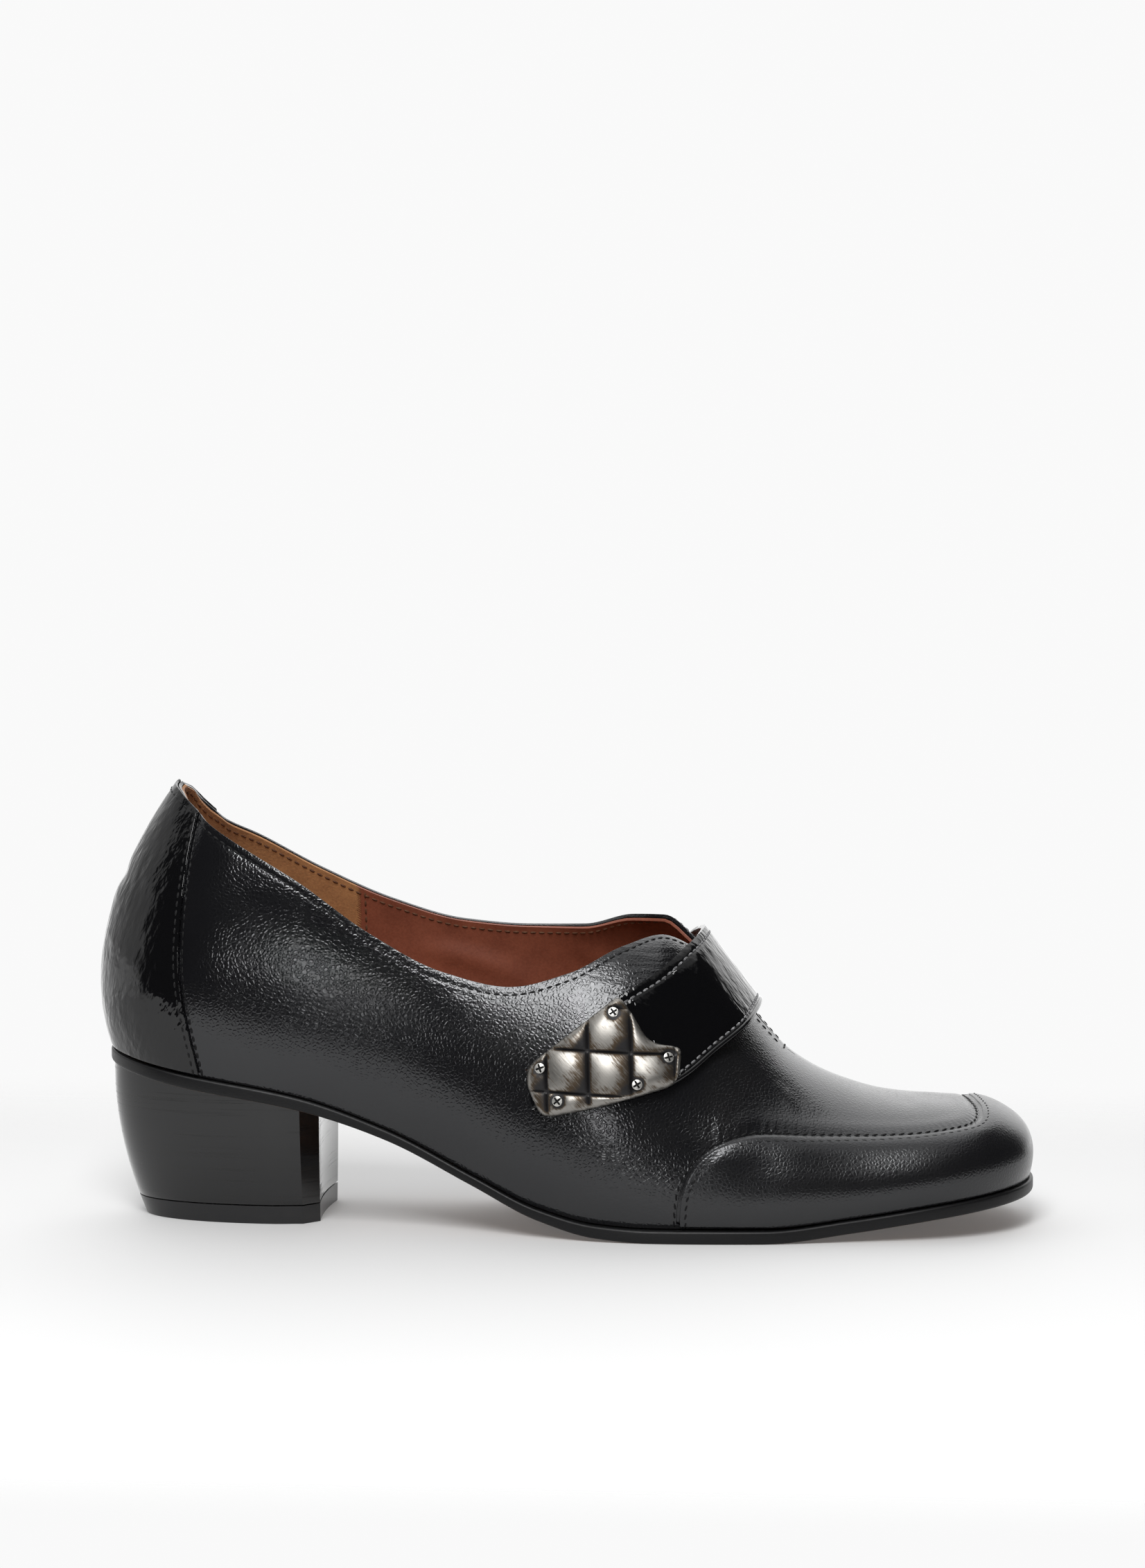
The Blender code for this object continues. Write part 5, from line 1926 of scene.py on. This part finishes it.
@dataclass
class Bottom:
    """The sock inside the shoe and the outsole."""

    sock: float = 2.4
    sock_inset: float = 2.6
    sock_wall: float = 1.6
    sock_round: float = 0.3
    sock_rows: int = 22
    dish: float = 0.5
    dish_share: Rise = Rise(1.0, 0.4)
    edge_round: float = 0.8
    edge_points: int = 5
    edge_under: float = 0.7
    top_shares: Tuple[float, ...] = (0.0, 0.3, 0.6, 0.8, 0.93)
    under_shares: Tuple[float, ...] = (0.97, 0.93, 0.8, 0.6, 0.3, 0.0)
    ink_fade: Tuple[float, ...] = (0.0, 0.0, 0.1, 0.4, 0.85)
    smooth: float = 50.0
    columns: int = 320

    def insole(self) -> bpy.types.Object:
        """The sock, slightly dished."""

        def place(along: Array, across: Array) -> Patch:
            """Points of the sock's face, from its edge to the spine."""
            share = 1 - across
            up = self.sock - self.dish * self.dish_share(share)
            return Patch(LAST.inset(along * LAST.round, share, -self.sock_inset, LAST.gap + up))

        edit = bend_grid(self.columns, self.sock_rows, place)
        made = make_piece("insole_sock", edit, FINISH.suede.make(), ["insole"])
        return thicken(made, self.sock_wall, self.sock_round)

    def outsole(self) -> bpy.types.Object:
        """The outsole: its upper face, its rounded edge and its underside, closed along the spine."""
        r = self.edge_round
        turns = np.linspace(0, math.pi / 2, self.edge_points)
        top = [(share, 0.0, 0.0, 0.0) for share in self.top_shares]
        over = [(1.0, r * (math.sin(a) - 1), -r * (1 - math.cos(a)), 0.0) for a in turns]
        below = [(1.0, r * (math.cos(a) - 1) * self.edge_under, r * (1 - math.sin(a)), 1.0) for a in turns]
        bottom = [(share, 0.0, 0.0, 1.0) for share in self.under_shares]
        profile = np.array(top + over + below + bottom)
        bare = np.concatenate([np.zeros(len(top + over)), self.ink_fade, np.ones(len(bottom))])
        rows = len(profile) - 1

        def place(along: Array, across: Array) -> Patch:
            """Points of the sole's skin."""
            row = nearest(1 - across, rows)
            share, out, up, low = profile[row].T
            s = along * LAST.round
            foot = LAST.inset(s, 1.0, 0.0, 0.0)[:, 0]
            spots = LAST.inset(s, share, LAST.ledge(foot) + out, 0.0)
            spots[:, 2] += up - low * LAST.thick(spots[:, 0])
            return Patch(spots, {"under": bare[row]})

        edit = bend_grid(self.columns, rows, place)
        nodes = ["outsole"]
        return make_piece("outsole_leather", edit, FINISH.sole.make(), nodes, self.smooth)

    def build(self) -> None:
        """The sock and the outsole."""
        self.insole()
        self.outsole()


@dataclass
class Heel:
    """The block heel and its rubber top piece."""

    breast: float = -65.0
    back: float = -124.0
    setback: float = 8.7
    half_width: float = 26.0
    front_in: float = 1.2
    round_back: float = 46.0
    fullness: float = 0.8
    taper: float = 3.5
    corner_x: float = 4.6
    corner_y: float = 5.4
    hollow: float = 1.0
    top: float = 40.7
    top_piece: float = 5.0
    edge_round: float = 0.16
    edge_start: float = 0.3
    margin: float = 0.06
    rows: int = 12
    breast_points: int = 13
    back_points: int = 33
    smooth: float = 30.0

    def outline(self) -> Array:
        """The heel's outline at its top: hollow breast, cut corners, straight sides and round back."""
        front = self.half_width - self.front_in
        inner = front - self.corner_y
        half: List[Tuple[float, float]] = []
        for share in np.linspace(0, 1, self.breast_points):
            half.append((self.breast - self.hollow * (1 - share**2), share * inner))
        half.append((self.breast - self.corner_x, front))
        for turn in np.linspace(0, math.pi / 2, self.back_points):
            out = self.half_width * max(math.cos(turn), 0.0) ** self.fullness
            half.append((self.back + self.round_back * (1 - math.sin(turn)), out))
        half[-1] = (self.back, 0.0)
        return np.array(half + [(x, -y) for x, y in half[-2:0:-1]])

    def drawn_in(self, ring: Array, up: Array) -> Array:
        """The outline drawn in for heights above the floor."""
        share = (1 - np.minimum(up, self.top) / self.top) ** 2
        reach = self.breast - self.back
        x = self.breast + (ring[:, 0] - self.breast) * (1 - share * self.setback / reach)
        return np.stack((x, ring[:, 1] * (1 - share * self.taper / self.half_width)), axis=1)

    def slice(
        self, name: str, finish: bpy.types.Material, low: float, high: Optional[float]
    ) -> bpy.types.Object:
        """A slice of the heel.

        Args:
            name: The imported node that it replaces.
            finish: Its material.
            low: Height of its lower face.
            high: Height of its upper face, or None up to the sole.

        Returns:
            The piece.
        """
        ring = self.outline()
        count = len(ring)
        edge = self.edge_round * np.array((0, self.edge_start, 1))
        band = np.linspace(self.margin, 1 - self.margin, self.rows)
        levels = np.concatenate([edge, band, 1 - edge[::-1]])
        rows = len(levels) - 1
        insets = np.zeros(rows + 1)
        insets[:2] = edge[:0:-1]
        middle = np.array((0.5 * (self.breast + self.back), 0.0))

        def place(along: Array, across: Array) -> Patch:
            """Points of the slice's side."""
            flat = ring[nearest(along, count) % count]
            j = nearest(across, rows)
            roof = high
            if high is None:
                roof = LAST.sole_top(flat[:, 0]) - LAST.thick(flat[:, 0]) - LAST.gap
            low_edge, high_edge = low + levels[j], roof - 1 + levels[j]
            up = np.select([j < 3, j > rows - 3], [low_edge, high_edge], low + levels[j] * (roof - low))
            spots = self.drawn_in(flat, up)
            spots = spots - insets[j][:, None] * unit(spots - middle)
            return Patch(np.column_stack((spots, up)))

        edit = bend_grid(count, rows, place)
        bmesh.ops.holes_fill(edit, edges=[edge for edge in edit.edges if edge.is_boundary], sides=0)
        bmesh.ops.recalc_face_normals(edit, faces=edit.faces)
        return make_piece(f"{name}_dressed", edit, finish, [name], self.smooth)

    def build(self) -> None:
        """The block and its top piece."""
        self.slice("heel_block", FINISH.heel.make(), self.top_piece + LAST.gap, None)
        self.slice("heel_top_piece", FINISH.rubber.make(), 0.0, self.top_piece)


class Lamp(NamedTuple):
    """A softbox: where it stands round the shoe, its size in metres and how bright its face is."""

    name: str
    azimuth: float
    elevation: float
    distance: float
    width: float
    height: float
    radiance: float


@dataclass
class Studio:
    """The pale floor and the lights, in metres, and the camera at the photograph's angle."""

    lens: float = 100.0
    sensor: float = 36.0
    azimuth: float = 4.8
    pitch: float = 4.3
    distance: float = 1188.0
    target: Triple = (2.4, 0.0, 118.5)
    floor_sides: int = 96
    floor_radius: float = 0.75
    floor_fade: float = 0.45
    floor_front: float = -0.31
    floor_edge: float = 0.04
    floor_back: float = 0.1
    floor_blur: float = 0.16
    floor_white: Colour = (0.7, 0.7, 0.7)
    floor_rough: float = 0.7
    floor_glow: float = 0.09
    backdrop: float = 0.95
    wall: float = 0.66
    ground: float = 0.45
    ground_line: Tuple[float, float] = (0.04, -0.04)
    glare: float = 1.05
    glare_azimuth: float = 172.0
    glare_elevation: float = 42.0
    glare_spread: Tuple[float, float] = (0.55, 0.95)
    gloom: float = 0.05
    gloom_azimuth: float = 38.0
    gloom_side: Tuple[float, float] = (-0.42, -0.12)
    gloom_top: Tuple[float, float] = (0.92, 0.76)
    lamp_target: Triple = (0.0, 0.0, 0.05)
    lamps: Tuple[Lamp, ...] = (
        Lamp("overhead_box", -2.5, 48.0, 1.25, 0.4, 0.72, 13.0),
        Lamp("camera_box", -7.0, 6.5, 1.4, 0.2, 0.2, 6.5),
    )

    @staticmethod
    def direction(azimuth: float, elevation: float) -> Vector:
        """Direction from the shoe, by degrees from the camera's side and above the floor."""
        a, e = math.radians(azimuth), math.radians(elevation)
        return Vector((math.sin(a) * math.cos(e), -math.cos(a) * math.cos(e), math.sin(e)))

    def floor(self) -> bpy.types.Object:
        """A pale round floor that fades out."""
        edit = bmesh.new()
        bmesh.ops.create_circle(edit, cap_ends=True, segments=self.floor_sides, radius=self.floor_radius)
        mesh = bpy.data.meshes.new("floor")
        edit.to_mesh(mesh)
        edit.free()
        bench = MaterialBench("floor_white")
        here = bench.node("ShaderNodeTexCoord").outputs["Object"]
        away = bench.vector("LENGTH", here).outputs["Value"]
        depth = Value(bench, bench.node("ShaderNodeSeparateXYZ", None, {"Vector": here}).outputs["Y"])
        near = depth.step(self.floor_front - self.floor_edge, self.floor_front + self.floor_edge)
        far = depth.step(self.floor_back + self.floor_blur, self.floor_back)
        cover = Value(bench, away).step(self.floor_radius, self.floor_fade) * near * far
        finish = bench.finish(
            Base_Color=self.floor_white,
            Roughness=self.floor_rough,
            Alpha=cover,
            Emission_Color=(1, 1, 1),
            Emission_Strength=self.floor_glow,
        )
        mesh.materials.append(finish)
        made = bpy.data.objects.new("floor", mesh)
        bpy.context.scene.collection.objects.link(made)
        return made

    def surroundings(self) -> None:
        """A white backdrop round the shoe and a dim room on the camera's side."""
        world = bpy.data.worlds.new("studio")
        world.use_nodes = True
        bpy.context.scene.world = world
        bench = Bench(world.node_tree)
        way = bench.node("ShaderNodeTexCoord").outputs["Generated"]
        flat = bench.vector("NORMALIZE", bench.vector("MULTIPLY", way, (1, 1, 0)).outputs[0]).outputs[0]
        gloom_way = self.direction(self.gloom_azimuth, 0.0)
        glare_way = self.direction(self.glare_azimuth, self.glare_elevation)
        front = Value(bench, bench.vector("DOT_PRODUCT", flat, gloom_way).outputs["Value"])
        behind = Value(bench, bench.vector("DOT_PRODUCT", way, glare_way).outputs["Value"])
        up = Value(bench, bench.node("ShaderNodeSeparateXYZ", None, {"Vector": way}).outputs["Z"])
        dim = front.step(*self.gloom_side) * up.step(*self.gloom_top)
        glare = behind.step(*self.glare_spread) * self.glare
        bright = self.wall + glare + up.step(*self.ground_line) * self.ground
        lit = bright * (1 - dim) + dim * self.gloom
        seen = Value(bench, bench.node("ShaderNodeLightPath").outputs["Is Camera Ray"])
        tone = seen * self.backdrop + (1 - seen) * lit
        colour = bench.node("ShaderNodeCombineColor", None, {"Red": tone, "Green": tone, "Blue": tone})
        bench.fill(world.node_tree.nodes["Background"].inputs["Color"], colour.outputs[0])

    def lights(self) -> None:
        """The softboxes."""
        for lamp in self.lamps:
            light = bpy.data.lights.new(lamp.name, "AREA")
            light.shape = "RECTANGLE"
            light.size, light.size_y = lamp.width, lamp.height
            light.energy = lamp.radiance * math.pi * lamp.width * lamp.height
            made = bpy.data.objects.new(lamp.name, light)
            away = self.direction(lamp.azimuth, lamp.elevation)
            made.location = away * lamp.distance + Vector(self.lamp_target)
            made.rotation_euler = away.to_track_quat("Z", "Y").to_euler()
            bpy.context.scene.collection.objects.link(made)

    def camera(self) -> None:
        """The camera at the photograph's angle."""
        back = self.direction(self.azimuth, self.pitch)
        lens = bpy.data.cameras.new("camera")
        lens.lens = self.lens
        lens.sensor_width = self.sensor
        made = bpy.data.objects.new("camera", lens)
        middle = Vector((np.array(self.target) + SHIFT).tolist())
        made.location = (middle + back * self.distance) * MM
        made.rotation_euler = back.to_track_quat("Z", "Y").to_euler()
        bpy.context.scene.collection.objects.link(made)
        bpy.context.scene.camera = made

    def build(self) -> None:
        """Sets the stage."""
        self.floor()
        self.surroundings()
        self.lights()
        self.camera()
        bpy.context.scene.view_settings.view_transform = "Standard"


def main() -> None:
    """Dresses the shoe and sets the stage."""
    logging.basicConfig(level=logging.INFO)
    LOG.info("packed nodes: %d", len(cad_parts))
    for assembly in (Upper(), ToeWall(), BackPiece(), InstepStrap(), Ornament(), Bottom(), Heel(), Studio()):
        assembly.build()


if __name__ == "__main__":
    main()
